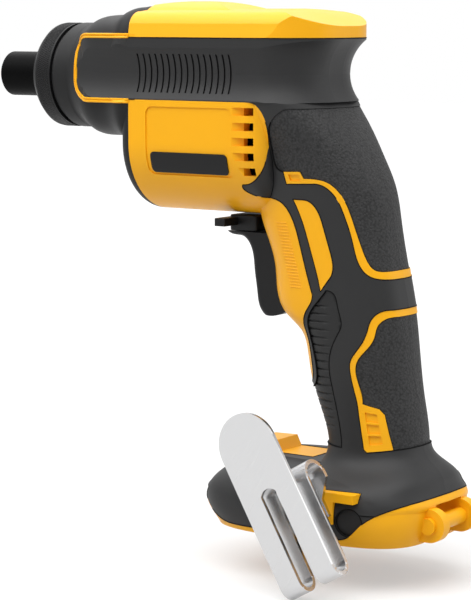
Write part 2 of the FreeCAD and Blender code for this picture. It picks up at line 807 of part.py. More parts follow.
def make_hook():
    half_gauge = s.hook_thickness / 2
    seat = s.hook_face + half_gauge
    top_leg = seat + s.hook_seat_gap
    plate = top_leg + s.hook_belt_gap
    top_bend = s.hook_seat_gap / 2
    low_bend = s.hook_belt_gap / 2
    bend_top = s.hook_mid_length - half_gauge
    route = [
        segment(hook_point(s.hook_seat_length, 0, seat), hook_point(bend_top - top_bend, 0, seat)),
        arc(hook_point(bend_top - top_bend, 0, seat), hook_point(bend_top, 0, seat + top_bend),
            hook_point(bend_top - top_bend, 0, top_leg)),
        segment(hook_point(bend_top - top_bend, 0, top_leg), hook_point(low_bend + half_gauge, 0, top_leg)),
        arc(hook_point(low_bend + half_gauge, 0, top_leg), hook_point(half_gauge, 0, top_leg + low_bend),
            hook_point(low_bend + half_gauge, 0, plate)),
        segment(hook_point(low_bend + half_gauge, 0, plate), hook_point(s.hook_length, 0, plate)),
    ]
    half = s.hook_width / 2
    corners = [hook_point(s.hook_seat_length, side * half, seat + lift * half_gauge)
               for side, lift in ((-1, -1), (1, -1), (1, 1), (-1, 1))]
    strap = Part.Wire(route).makePipeShell([Part.makePolygon(corners + corners[:1])], True, False, 1)
    inner = s.hook_face - s.overrun
    depth = vec(0, -s.hook_seat_gap - s.hook_belt_gap - s.overrun * 2, 0)
    round_corners = [hook_point(along, across, inner) for along, across in (
        (-s.overrun, -half), (s.hook_length - half, -half), (s.hook_length - half, half), (-s.overrun, half))]
    round_top = Part.Face(Part.Wire([
        segment(round_corners[0], round_corners[1]),
        arc(round_corners[1], hook_point(s.hook_length, 0, inner), round_corners[2]),
        segment(round_corners[2], round_corners[3]),
        segment(round_corners[3], round_corners[0]),
    ])).extrude(depth)
    behind = seat + half_gauge * 2
    slot_half = s.hook_slot / 2
    slot_corners = [hook_point(along, across, behind) for along, across in (
        (-s.overrun, -slot_half), (s.hook_slot_length, -slot_half),
        (s.hook_slot_length, slot_half), (-s.overrun, slot_half))]
    slot_end = hook_point(s.hook_slot_length + s.hook_slot_rise, 0, behind)
    slot = Part.Face(Part.Wire([
        segment(slot_corners[0], slot_corners[1]),
        arc(slot_corners[1], slot_end, slot_corners[2]),
        segment(slot_corners[2], slot_corners[3]),
        segment(slot_corners[3], slot_corners[0]),
    ])).extrude(depth)
    shoulder = s.hook_screw_rise + s.screw_head_radius * 2
    tapers = []
    for side in (-1, 1):
        corners = [hook_point(s.hook_seat_length - s.overrun, side * s.hook_tang_half, inner),
                   hook_point(s.hook_screw_rise, side * s.hook_tang_half, inner),
                   hook_point(shoulder, side * half, inner),
                   hook_point(s.hook_seat_length - s.overrun, side * s.hook_width, inner)]
        tapers.append(Part.Face(Part.makePolygon(corners + corners[:1])).extrude(vec(0, inner - behind, 0)))
    hole = rod_y(s.screw_radius, -behind, -s.hook_face + s.overrun, hook_screw_x, hook_screw_z)
    feature("belt_hook", strap.common(round_top).cut([slot, hole] + tapers))


make_hook()
hook_seat = s.hook_face + s.hook_thickness
hook_bore = rod_y(s.screw_radius, -s.hook_face, -s.hook_face + s.hook_boss_length, hook_screw_x, hook_screw_z)
hook_head_y = -hook_seat - s.screw_head_height
hook_screw_blank = joined("hook_screw_blank", [
    cylinder("hook_screw_head", s.screw_head_radius, s.screw_head_height,
             (hook_screw_x, hook_head_y, hook_screw_z), ALONG_Y),
    cylinder("hook_screw_shank", s.screw_radius, s.hook_boss_length + s.hook_thickness,
             (hook_screw_x, -hook_seat, hook_screw_z), ALONG_Y),
])
hook_drive = hexagon("hook_drive", s.drive_flats, s.drive_depth,
                     (hook_screw_x, hook_head_y, hook_screw_z), ALONG_Y)
keep(cut_away("hook_screw", hook_screw_blank, hook_drive), "hook_screw")


# Outer forms of the casing. Each takes an inset, so that the same form gives the outside and
# the bed under the moulded skin.

SECTION_POINTS = 20
GRIP_STATION_SHARES = (
    # drop, front and rear as shares of the grip's drop and reach, width share, squareness
    (0.028, 0.556, 0.772, 1.554, 2.5),
    (0.084, 0.567, 0.792, 1.497, 2.5),
    (0.140, 0.572, 0.831, 1.371, 2.4),
    (0.210, 0.578, 0.869, 1.211, 2.4),
    (0.280, 0.583, 0.900, 1.114, 2.4),
    (0.378, 0.594, 0.919, 1.051, 2.4),
    (0.503, 0.631, 0.937, 1.023, 2.5),
    (0.640, 0.662, 0.959, 1.000, 2.5),
    (0.678, 0.698, 0.963, 0.995, 2.4),
    (0.741, 0.718, 0.968, 0.989, 2.4),
    (0.853, 0.737, 0.981, 0.983, 2.3),
    (0.951, 0.767, 0.992, 1.000, 2.3),
    (1.000, 0.772, 1.000, 1.046, 2.35),
    (1.031, 0.764, 1.025, 1.229, 2.5),
    (1.059, 0.744, 1.042, 1.543, 2.6),
    (1.091, 0.717, 1.049, 1.800, 2.7),
    (1.133, 0.689, 1.049, 1.943, 2.8),
)
FOOT_STATION_SHARES = (
    # rise above the sole, front and rear set-back, width share, squareness
    (0.000, 0.059, 0.040, 0.929, 3.6),
    (0.218, 0.020, 0.012, 0.989, 3.6),
    (0.473, 0.000, 0.000, 1.000, 3.4),
    (0.691, 0.040, 0.010, 0.943, 3.2),
    (0.873, 0.109, 0.040, 0.743, 2.9),
    (1.000, 0.198, 0.139, 0.429, 2.5),
)
CASE_STATION_SHARES = (
    # place, half width, half height, rise of the centre, squareness
    (0.357, 0.793, 0.832, 0.00, 2.00),
    (0.417, 0.811, 0.847, 0.00, 2.05),
    (0.487, 0.880, 0.900, 0.00, 2.40),
    (0.626, 0.938, 0.939, 0.25, 3.00),
    (0.817, 0.982, 0.977, 0.60, 3.60),
    (1.000, 1.000, 1.000, 1.00, 4.00),
)


def rounded_loop(place, half_a, half_b, power):
    """A smooth closed curve between an ellipse (power 2) and a rectangle (higher powers)."""
    points = []
    for step in range(SECTION_POINTS):
        turn = 2 * math.pi * step / SECTION_POINTS
        across = math.copysign(abs(math.cos(turn)) ** (2 / power), math.cos(turn))
        up = math.copysign(abs(math.sin(turn)) ** (2 / power), math.sin(turn))
        points.append(place(across * half_a, up * half_b))
    spline = Part.BSplineCurve()
    spline.interpolate(points, PeriodicFlag=True)
    return Part.Wire(spline.toShape())


def level_section(front, rear, half, z, power, inset):
    middle = (front + rear) / 2
    reach = (rear - front) / 2 - inset
    return rounded_loop(lambda a, b: Vector(middle + a, b, z), reach, half - inset, power)


def grip_form(inset):
    sections = []
    for drop_share, front_share, rear_share, half_share, power in GRIP_STATION_SHARES:
        front = float(s.grip_reach) * front_share
        rear = float(s.grip_reach) * rear_share
        half = float(s.grip_half) * half_share
        sections.append(level_section(front, rear, half, -float(s.grip_drop) * drop_share, power, inset))
    return Part.makeLoft(sections, True, False)


def foot_form(inset):
    sections = []
    for rise_share, front_share, rear_share, half_share, power in FOOT_STATION_SHARES:
        front = float(s.foot_front + s.foot_length * front_share)
        rear = float(foot_rear - s.foot_length * rear_share)
        half = float(s.foot_half) * half_share
        height = float(s.foot_height) - 2 * inset
        z = -float(s.foot_drop) + inset + height * rise_share
        sections.append(level_section(front, rear, half, z, power, inset))
    return Part.makeLoft(sections, True, False)


def case_form(inset):
    sections = []
    for x_share, half_share, height_share, rise_share, power in CASE_STATION_SHARES:
        x = float(s.seam_x) * x_share
        z = float(s.case_rise) * rise_share
        half = float(s.body_half) * half_share - inset
        height = float(s.case_half_height) * height_share - inset
        sections.append(rounded_loop(lambda a, b, x=x, z=z: Vector(x, a, z + b), half, height, power))
    return Part.makeLoft(sections, True, False)


def tube_section(x, half, top):
    """The motor tube's U: half a circle about the motor axis with upright walls above it."""
    return Part.Face(Part.Wire([
        arc(vec(x, -half, motor_z), vec(x, 0, motor_z - half), vec(x, half, motor_z)),
        segment(vec(x, half, motor_z), vec(x, half, top)),
        segment(vec(x, half, top), vec(x, -half, top)),
        segment(vec(x, -half, top), vec(x, -half, motor_z)),
    ]))


def end_edges(shape, x, below):
    """The edges that lie in the plane at x and reach below a height."""
    near = float(s.fit)
    chosen = []
    for edge in shape.Edges:
        bounds = edge.BoundBox
        flat = bounds.XLength < near and abs(bounds.XMin - float(x)) < near
        if flat and bounds.ZMin < below:
            chosen.append(edge)
    return chosen


def tube_form(start, end, rounded_x, round_radius, inset):
    half = float(s.body_half) - inset
    top = -float(s.scoop_height)
    solid = tube_section(start, half, top).extrude(vec(end - start, 0, 0))
    return solid.makeFillet(float(round_radius), end_edges(solid, rounded_x, top - float(s.fit)))


def upper_form(inset):
    """Upper body and cap: an upright-sided section along X with a round rear end in plan."""
    half = float(s.body_half) - inset
    low = -float(s.band_drop)
    x = float(s.seam_x)
    drafted = half - float(s.cap_draft)
    shelf_y = half - float(s.cap_round)
    shelf = float(s.cap_shelf) - inset
    crown = float(s.cap_crown) - inset
    side = float(s.cap_side)
    bend_y = (drafted * 2 + shelf_y) / 3
    bend_z = (side + shelf * 2) / 3
    walls = [
        [vec(x, -half, low), vec(x, half, low)],
        [vec(x, half, low), vec(x, half, s.band_top)],
        [vec(x, half, s.band_top), vec(x, drafted, side)],
    ]
    edges = [curve(run) for run in walls]
    edges.append(arc(vec(x, drafted, side), vec(x, bend_y, bend_z), vec(x, shelf_y, shelf)))
    edges.append(arc(vec(x, shelf_y, shelf), vec(x, 0, crown), vec(x, -shelf_y, shelf)))
    edges.append(arc(vec(x, -shelf_y, shelf), vec(x, -bend_y, bend_z), vec(x, -drafted, side)))
    edges.append(segment(vec(x, -drafted, side), vec(x, -half, s.band_top)))
    edges.append(segment(vec(x, -half, s.band_top), vec(x, -half, low)))
    rear = float(s.body_rear) - inset
    solid = Part.Face(Part.Wire(edges)).extrude(vec(rear - x, 0, 0))
    corner = float(s.rear_corner) - inset
    plan = box(vec(x, -half, low - s.overrun), vec(rear, half, s.hump_top + s.overrun))
    uprights = [edge for edge in end_edges(plan, rear, 0.0) if edge.BoundBox.ZLength > half]
    return solid.common(plan.makeFillet(corner, uprights)).cut(cap_slope(inset))


CAP_SLOPE_SHARES = ((0.80, 1.005), (0.88, 0.965), (0.945, 0.86), (1.0, 0.755), (1.05, 0.66))


def cap_slope(inset):
    """What is cut off the cap so that its top falls away to the rear."""
    points = [vec(s.body_rear * along, 0, s.cap_crown * up) for along, up in CAP_SLOPE_SHARES]
    lift = vec(0, 0, s.hump_top)
    face = closed_face([points, [points[-1], points[-1] + lift], [points[-1] + lift, points[0] + lift],
                        [points[0] + lift, points[0]]])
    face.translate(vec(0, -s.body_half - s.overrun, -inset))
    return face.extrude(vec(0, s.body_half * 2 + s.overrun * 2, 0))


def brow_form(inset):
    """Front end of the side band over the gear case, round in plan."""
    half = float(s.body_half) - inset
    front = float(s.band_front) - float(s.trim_width) * 2 + inset
    top = s.band_top + s.trim_width - inset
    solid = box(vec(front, -half, -s.band_drop - s.trim_width + inset), vec(s.seam_x + s.skin * 2, half, top))
    uprights = [edge for edge in end_edges(solid, front, 0.0) if edge.BoundBox.YLength < float(s.fit)]
    return solid.makeFillet(float(s.brow_corner), uprights)


HUMP_SHARES = ((0.0, 0.955), (0.2, 0.992), (0.5, 1.0), (0.72, 0.975), (0.88, 0.925), (1.0, 0.875))
RAMP_SHARES = ((1.0, 0.935), (0.965, 0.925), (0.915, 0.87), (0.86, 0.80))


def crowned_ridge(points, front, rear):
    """A ridge along X: a side outline crowned by an ellipse across."""
    base = float(s.hump_root)
    face = closed_face([points, [points[-1], vec(rear, 0, base)], [vec(rear, 0, base), vec(front, 0, base)],
                        [vec(front, 0, base), points[0]]])
    face.translate(vec(0, -s.hump_half, 0))
    ridge = face.extrude(vec(0, s.hump_half * 2, 0))
    across = Part.Ellipse(vec(front, 0, base), float(s.hump_half), float(s.hump_top - s.hump_root))
    across = across.toShape()
    across.rotate(vec(front, 0, base), Vector(1, 0, 0), 90)
    across.rotate(vec(front, 0, base), Vector(0, 0, 1), 90)
    low = min(float(front), float(rear))
    high = max(float(front), float(rear))
    crown = Part.Face(Part.Wire(across))
    crown.translate(vec(low - float(front), 0, 0))
    return ridge.common(crown.extrude(vec(high - low, 0, 0)))


def hump_form():
    length = s.hump_rear - s.seam_x
    points = [vec(s.seam_x + length * along, 0, s.hump_top * up) for along, up in HUMP_SHARES]
    return crowned_ridge(points, s.seam_x, s.hump_rear)


def ramp_form():
    points = [vec(s.seam_x * along, 0, s.hump_top * up) for along, up in RAMP_SHARES]
    return crowned_ridge(points, s.seam_x, points[-1].x)


def scoop_path():
    side = s.body_half + s.scoop_radius - s.scoop_side
    rear = s.body_rear + s.scoop_radius - s.scoop_rear
    flat = s.body_half - s.rear_corner
    bend = side - flat
    turn_x = rear - bend
    half_bend = bend * math.sqrt(0.5)
    z = s.scoop_height
    front = s.nose_tube_x
    return [
        segment(vec(front, -side, z), vec(turn_x, -side, z)),
        arc(vec(turn_x, -side, z), vec(turn_x + half_bend, -flat - half_bend, z), vec(rear, -flat, z)),
        segment(vec(rear, -flat, z), vec(rear, flat, z)),
        arc(vec(rear, flat, z), vec(turn_x + half_bend, flat + half_bend, z), vec(turn_x, side, z)),
        segment(vec(turn_x, side, z), vec(front, side, z)),
    ]


def scoop_form(extra):
    """The hollow run along both sides and round the back, where the web of the hand sits."""
    side = s.body_half + s.scoop_radius - s.scoop_side
    centre = vec(s.nose_tube_x, -side, s.scoop_height)
    ring_wire = Part.Wire(Part.makeCircle(float(s.scoop_radius) + extra, centre, Vector(1, 0, 0)))
    return Part.Wire(scoop_path()).makePipeShell([ring_wire], True, False)


def whole_form(inset):
    tube_end = s.tube_rear - inset
    flange_start = s.flange_x + inset
    forms = [
        case_form(inset),
        brow_form(inset),
        tube_form(flange_start, s.seam_x, flange_start, s.flange_round - inset, inset),
        upper_form(inset),
        tube_form(s.seam_x, tube_end, tube_end, s.tube_round - inset, inset),
        grip_form(inset),
        foot_form(inset),
    ]
    return forms[0].fuse(forms[1:]).cut(scoop_form(inset))


outside = whole_form(0.0)
bed = whole_form(float(s.skin))
inlay_top = grip_form(float(s.inlay_drop))

# Room around the whole tool
room_front = -s.overrun
room_rear = s.lanyard_x + s.lanyard_ear_radius + s.overrun * 2
room_half = s.foot_half + s.overrun * 2
room_low = -s.foot_drop - s.overrun
room_high = s.hump_top + s.overrun

# Side-view regions of the moulded skin, as shares of the grip's reach (back from the origin)
# and drop (down from the spindle axis)


def side_points(shares):
    return [vec(s.grip_reach * along, 0, -s.grip_drop * down) for along, down in shares]


def side_face(runs_shares):
    return closed_face([side_points(run) for run in runs_shares])


TONGUE_SHARES = (
    ((0.633, 0.0594), (0.663, 0.073), (0.675, 0.098), (0.674, 0.190), (0.668, 0.231), (0.647, 0.269),
     (0.613, 0.283)),
    ((0.613, 0.283), (0.609, 0.292), (0.616, 0.303), (0.633, 0.313)),
    ((0.633, 0.313), (0.669, 0.320), (0.690, 0.327), (0.708, 0.345), (0.724, 0.378), (0.741, 0.445),
     (0.756, 0.513), (0.771, 0.573)),
    ((0.771, 0.573), (0.769, 0.590), (0.754, 0.619), (0.744, 0.650), (0.747, 0.692), (0.756, 0.755),
     (0.758, 0.790)),
    ((0.758, 0.790), (0.752, 0.810), (0.739, 0.825)),
)
FOOT_EDGE_SHARES = (
    ((0.739, 0.825), (0.620, 0.835)),
    ((0.620, 0.835), (0.450, 1.000)),
    ((0.450, 1.000), (0.450, 1.110)),
    ((0.450, 1.110), (0.515, 1.122)),
    ((0.515, 1.122), (0.560, 1.192), (0.615, 1.209)),
    ((0.615, 1.209), (0.892, 1.206)),
    ((0.892, 1.206), (0.920, 1.194), (0.952, 1.155), (0.995, 1.122), (1.036, 1.102), (1.075, 1.090)),
    ((1.075, 1.090), (1.150, 1.085)),
    ((1.150, 1.085), (1.150, 0.0594)),
    ((1.150, 0.0594), (0.633, 0.0594)),
)
UPPER_STRIPE_TOP_SHARES = (
    ((0.704, 0.245), (0.747, 0.243)),
    ((0.747, 0.243), (0.755, 0.2615)),
    ((0.755, 0.2615), (0.783, 0.262), (0.808, 0.269), (0.832, 0.292), (0.848, 0.324), (0.864, 0.378),
     (0.884, 0.449), (0.896, 0.482), (0.908, 0.500), (0.928, 0.505), (1.030, 0.500)),
)
UPPER_STRIPE_SHARES = UPPER_STRIPE_TOP_SHARES + (
    ((1.030, 0.500), (1.030, 0.521)),
    ((1.030, 0.521), (0.920, 0.5245), (0.9005, 0.516), (0.8845, 0.496), (0.864, 0.425), (0.844, 0.350),
     (0.830, 0.3125), (0.808, 0.284), (0.775, 0.2745)),
    ((0.775, 0.2745), (0.710, 0.278)),
    ((0.710, 0.278), (0.704, 0.245)),
)
PALM_PAD_SHARES = UPPER_STRIPE_TOP_SHARES + (
    ((1.030, 0.500), (1.030, 0.074)),
    ((1.030, 0.074), (0.728, 0.074)),
    ((0.728, 0.074), (0.706, 0.091), (0.684, 0.126), (0.681, 0.189), (0.687, 0.234), (0.704, 0.245)),
)
LOWER_STRIPE_RIGHT_SHARES = (
    ((0.902, 0.979), (0.9105, 0.987)),
    ((0.9105, 0.987), (0.9615, 0.978)),
    ((0.9615, 0.978), (0.942, 0.884)),
    ((0.942, 0.884), (0.931, 0.869)),
    ((0.931, 0.869), (0.8955, 0.858)),
    ((0.8955, 0.858), (0.888, 0.8145), (0.878, 0.7655), (0.881, 0.746), (0.902, 0.710), (0.916, 0.678),
     (0.920, 0.650), (0.929, 0.6335), (0.950, 0.624)),
    ((0.950, 0.624), (1.060, 0.614)),
)
LOWER_STRIPE_SHARES = LOWER_STRIPE_RIGHT_SHARES + (
    ((1.060, 0.614), (1.060, 0.594)),
    ((1.060, 0.594), (0.943, 0.6055)),
    ((0.943, 0.6055), (0.918, 0.616), (0.906, 0.6385), (0.902, 0.660), (0.893, 0.6915), (0.874, 0.7265),
     (0.865, 0.7495), (0.865, 0.7685), (0.874, 0.8175), (0.887, 0.882)),
    ((0.887, 0.882), (0.902, 0.979)),
)
HEEL_PAD_SHARES = LOWER_STRIPE_RIGHT_SHARES[2:] + (
    ((1.060, 0.614), (1.060, 0.963)),
    ((1.060, 0.963), (0.9615, 0.978)),
)
FINGER_PANEL_SHARES = (
    ((0.8055, 0.559), (0.775, 0.6035), (0.757, 0.641), (0.755, 0.664), (0.764, 0.727), (0.773, 0.783)),
    ((0.773, 0.783), (0.767, 0.815), (0.750, 0.832)),
    ((0.750, 0.832), (0.700, 0.840)),
    ((0.700, 0.840), (0.700, 0.982)),
    ((0.700, 0.982), (0.8455, 0.982)),
    ((0.8455, 0.982), (0.837, 0.906), (0.819, 0.817), (0.812, 0.767), (0.816, 0.725), (0.833, 0.679),
     (0.843, 0.653), (0.8355, 0.607), (0.826, 0.569), (0.8055, 0.559)),
)
LENS_SHARES = (
    ((0.725, 0.318), (0.752, 0.318)),
    ((0.752, 0.318), (0.7705, 0.325), (0.786, 0.346), (0.802, 0.399), (0.818, 0.4615),
     (0.823, 0.497), (0.818, 0.5215)),
    ((0.818, 0.5215), (0.792, 0.563)),
    ((0.792, 0.563), (0.7845, 0.5245), (0.768, 0.457), (0.747, 0.376), (0.725, 0.318)),
)


def band_face(grow):
    """The long side band: a slot shape with a round front end, open to the rear."""
    top = s.band_top + grow
    low = -s.band_drop - grow
    front = s.band_front - grow
    corner = s.band_corner + grow
    bend = corner * (1 - math.sqrt(0.5))
    end = room_rear
    return Part.Face(Part.Wire([
        segment(vec(end, 0, top), vec(front + corner, 0, top)),
        arc(vec(front + corner, 0, top), vec(front + bend, 0, top - bend), vec(front, 0, top - corner)),
        segment(vec(front, 0, top - corner), vec(front, 0, low + corner)),
        arc(vec(front, 0, low + corner), vec(front + bend, 0, low + bend), vec(front + corner, 0, low)),
        segment(vec(front + corner, 0, low), vec(end, 0, low)),
        segment(vec(end, 0, low), vec(end, 0, top)),
    ]))


def left_prism(face):
    return face.extrude(vec(0, -s.foot_half - s.overrun, 0))


handle_face = side_face(TONGUE_SHARES + FOOT_EDGE_SHARES)
islands = [side_face(shares) for shares in (UPPER_STRIPE_SHARES, LOWER_STRIPE_SHARES, LENS_SHARES)]
palm_face = side_face(PALM_PAD_SHARES)
heel_face = side_face(HEEL_PAD_SHARES)
finger_face = side_face(FINGER_PANEL_SHARES).common(handle_face)
inlays = [palm_face, heel_face, finger_face]

band = left_prism(band_face(0))
dark_handle = left_prism(handle_face.cut(islands))
smooth_handle = left_prism(handle_face.cut(islands + inlays))

# The room cut at the middle plane and at the seam
left_half = box(vec(room_front, -room_half, room_low), vec(room_rear, 0, room_high))
behind_seam = box(vec(s.seam_x, -room_half, room_low), vec(room_rear, room_half, room_high))
before_seam = box(vec(room_front, -room_half, room_low), vec(s.seam_x, room_half, room_high))
deck_rear = s.grip_reach * GRIP_STATION_SHARES[-3][1]
deck_gap = box(vec(s.foot_front - s.overrun, -s.deck_half, -bay_ceiling),
               vec(deck_rear, s.overrun, -s.grip_drop))

left_outside = outside.common(left_half)
skin_space = left_outside.cut(bed)


# Pieces that stand on the left half: hook boss, lanyard ear with half the bar, lamp wedge

def make_hook_boss():
    """A round-ended block that carries the hook, with a short arm to the rear."""
    rear_x = hook_screw_x + s.hook_boss_reach
    inner = -s.bay_half - s.skin
    low = hook_screw_z - s.hook_boss_radius
    high = hook_screw_z + s.hook_boss_radius
    front = rod_y(s.hook_boss_radius, -s.hook_face, inner, hook_screw_x, hook_screw_z)
    middle = box(vec(hook_screw_x, -s.hook_face, low), vec(rear_x, inner, high))
    arm = box(vec(rear_x, -s.hook_face, high - s.hook_arm_width), vec(rear_x + s.hook_arm_reach, inner, high))
    return front.fuse([middle, arm])


def make_lanyard():
    z = -s.lanyard_drop
    outer = s.lanyard_half + s.lanyard_ear
    eye = rod_y(s.lanyard_ear_radius, -outer, -s.lanyard_half, s.lanyard_x, z)
    arm = box(vec(s.bay_rear + s.skin, -outer, z - s.lanyard_ear_radius),
              vec(s.lanyard_x, -s.lanyard_half, z + s.lanyard_ear_radius))
    return eye.fuse(arm)


def lanyard_bar():
    outer = s.lanyard_half + s.lanyard_ear + s.skin
    return rod_y(s.lanyard_radius, -outer, 0, s.lanyard_x, -s.lanyard_drop)


def lanyard_recess():
    """Room in front of and over the bar for a strap."""
    front = s.lanyard_x - s.lanyard_radius - s.lanyard_gap
    top = -s.lanyard_drop + s.lanyard_room
    return box(vec(front, -s.lanyard_half, room_low), vec(room_rear, s.lanyard_half, top))


LAMP_SHARES = ((0.660, 1.062), (0.637, 1.002), (0.578, 1.004), (0.536, 1.062))
lamp_points = side_points(LAMP_SHARES)
lamp_face = Part.Face(Part.makePolygon(lamp_points + lamp_points[:1]))
lamp_wedge = lamp_face.extrude(vec(0, -s.deck_half, 0))
lamp_slope = lamp_points[2] - lamp_points[3]
lamp_out = Vector(-lamp_slope.z, 0, lamp_slope.x).normalize()
lamp_middle = (lamp_points[2] + lamp_points[3]) * 0.5
lens_base = lamp_middle - lamp_out * float(s.lens_length / 2)
lens = Part.makeCylinder(float(s.lens_radius), float(s.lens_length), lens_base, lamp_out)
feature("led_lens", lens)

hook_boss = make_hook_boss()
hump = hump_form().common(left_half)
left_additions = [hump, hook_boss, make_lanyard(), lamp_wedge]


# Hollows of the casing

def battery_bay():
    front = s.foot_front - s.overrun
    inside = box(vec(front, -s.bay_half, -s.foot_drop + s.bay_lip), vec(s.bay_rear, s.bay_half, -bay_ceiling))
    mouth_half = s.bay_half - s.bay_rail
    mouth = box(vec(front, -mouth_half, room_low), vec(s.bay_rear, mouth_half, -bay_ceiling))
    return inside.fuse(mouth)


TAB_SHARES = (
    ((0.7165, 0.2515), (0.744, 0.2505)),
    ((0.744, 0.2505), (0.748, 0.2675)),
    ((0.748, 0.2675), (0.7205, 0.2685)),
    ((0.7205, 0.2685), (0.7165, 0.2515)),
)
# The row of small recesses in the lower stripe, between a left and a right edge
CELL_LEFT_SHARES = ((0.9015, 0.879), (0.915, 0.966))
CELL_RIGHT_SHARES = ((0.9275, 0.883), (0.9425, 0.9625))
CELL_SPAN_SHARES = ((0.0, 0.30), (0.36, 0.66), (0.72, 1.0))


def part_way(ends, share):
    return tuple(first + (last - first) * share for first, last in zip(*ends))


def cell_faces():
    faces = []
    for start, end in CELL_SPAN_SHARES:
        corners = side_points([part_way(CELL_LEFT_SHARES, start), part_way(CELL_RIGHT_SHARES, start),
                               part_way(CELL_RIGHT_SHARES, end), part_way(CELL_LEFT_SHARES, end)])
        faces.append(Part.Face(Part.makePolygon(corners + corners[:1])))
    return faces


def engraving(tools, depth):
    """What of the tools lies above a depth under the handle's surface."""
    return Part.makeCompound(tools).cut(grip_form(float(depth)))


def handle_recesses():
    """The tab of the upper stripe and the cells of the lower one."""
    return engraving([left_prism(face) for face in [side_face(TAB_SHARES)] + cell_faces()], s.recess_depth)


def hook_dish():
    """A round hollow in the foot's side, behind the hook's boss."""
    disc = rod_y(s.dish_radius, -room_half, 0, s.dish_x, -s.dish_drop)
    return disc.cut(foot_form(float(s.dish_depth)))


def rounded_panel(x, length, drop, height, corner):
    """A block through the motor tube's left wall with round corners in side view."""
    block_form = box(vec(x, -room_half, -drop - height), vec(x + length, -s.hump_half, -drop))
    corners = [edge for edge in block_form.Edges
               if edge.BoundBox.ZLength + edge.BoundBox.XLength < float(s.fit)]
    return block_form.makeFillet(float(corner), corners)


def tube_skin(tool, depth):
    """What of a tool lies in the motor tube's wall down to a depth."""
    end = s.tube_rear - depth
    outer = tube_form(s.seam_x, s.tube_rear, s.tube_rear, s.tube_round, 0.0)
    inner = tube_form(s.seam_x, end, end, s.tube_round, float(depth))
    return tool.common(outer).cut(inner)


def vent_gussets():
    """Sloped run-ins to the vents, so that ribs are left standing between them."""
    start = vec(s.vent_x - s.gusset_length, -s.body_half, 0)
    face = Part.Face(Part.makePolygon([
        start,
        vec(s.vent_x, -s.body_half - s.overrun, 0),
        vec(s.vent_x, -s.body_half + s.gusset_depth, 0),
        start,
    ]))
    cuts = []
    for step in range(int(float(s.vent_count))):
        wedge = face.copy()
        wedge.translate(vec(0, 0, -s.vent_drop - s.vent_pitch * step - s.vent_height))
        cuts.append(wedge.extrude(vec(0, 0, s.vent_height)))
    return cuts


def vents():
    slots = []
    rear = s.vent_x + s.vent_length
    for step in range(int(float(s.vent_count))):
        top = -s.vent_drop - s.vent_pitch * step
        slots.append(box(vec(s.vent_x, -room_half, top - s.vent_height), vec(rear, room_half, top)))
    return slots


def flutes():
    """Short upright grooves in the side band."""
    middle = s.body_half + s.scoop_radius - s.scoop_side
    round_cut = Part.makeCylinder(float(s.scoop_radius + s.flute_depth), float(s.body_rear),
                                  vec(0, -middle, s.scoop_height), Vector(1, 0, 0))
    slabs = []
    for step in range(int(float(s.flute_count))):
        x = s.flute_x + s.flute_pitch * step
        slabs.append(box(vec(x, -room_half, s.scoop_height - s.flute_half_height),
                         vec(x + s.flute_width, 0, s.scoop_height + s.flute_half_height)))
    return Part.makeCompound(slabs).common(round_cut)


groove_x = plate_x - s.clip_width
clip_radius = s.stator_radius + s.clip_height
slot_low = -s.trigger_top - s.trigger_height - s.clearance * 2
slot_high = -s.trigger_top + s.clearance
lever_gap_low = lever_low - s.clearance
lever_gap_high = -s.lever_drop + s.clearance
lever_gap_rear = s.lever_pivot_x + s.lever_hub + s.clearance
switch_rear = s.switch_x + s.switch_length
switch_low = -s.switch_top - s.switch_height
controller_rear = s.controller_x + s.controller_length
controller_low = -s.controller_top - s.controller_height
upper_duct_x = s.controller_x + s.duct_radius
housing_hollows = vents() + [
    rod_x(s.stator_radius, s.seam_x, s.rear_bearing_x - s.clearance, motor_z),
    rod_x(clip_radius, groove_x, plate_x, motor_z),
    rod_x(s.motor_bearing_radius, s.rear_bearing_x - s.overrun, rear_bearing_rear + s.clearance, motor_z),
    rod_x(chamber_radius, s.seam_x, plate_rear),
    box(vec(plate_rear + s.skin * 2, -s.hump_root, s.collar_wall), vec(s.tube_rear, s.hump_root, s.cap_side)),
    box(vec(s.trigger_x, -trigger_slot, slot_low), vec(s.switch_x, trigger_slot, slot_high)),
    box(vec(s.lever_bar_x, -s.switch_half, lever_gap_low),
        vec(lever_gap_rear, s.switch_half, lever_gap_high)),
    rod_z(s.lever_pin - s.fit, pin_low, pin_high, s.lever_pivot_x),
    box(vec(s.switch_x, -s.switch_half, switch_low), vec(switch_rear, s.switch_half, -s.switch_top)),
    box(vec(s.controller_x, -s.controller_half, controller_low),
        vec(controller_rear, s.controller_half, -s.controller_top)),
    rod_z(s.duct_radius, -s.controller_top, switch_low, upper_duct_x),
    rod_z(s.duct_radius, -bay_ceiling, controller_low, controller_rear - s.duct_radius),
    battery_bay(),
    lens,
]
case_hollows = [
    rod_x(s.locator_flange + s.fit, room_front, locator_chamber_x),
    rod_x(s.spindle_radius + s.clearance * 2, room_front, bush_x),
    rod_x(s.bush_radius, bush_x, bush_rear),
    rod_x(s.shaft_radius + s.clearance, bush_x, chamber_x),
    rod_x(s.clutch_radius + s.clearance * 4, chamber_x, s.seam_x),
    rod_x(chamber_radius, gear_x - s.clearance * 2, plate_x),
    rod_x(pinion_chamber, gear_x - s.clearance * 2, plate_x, motor_z),
]

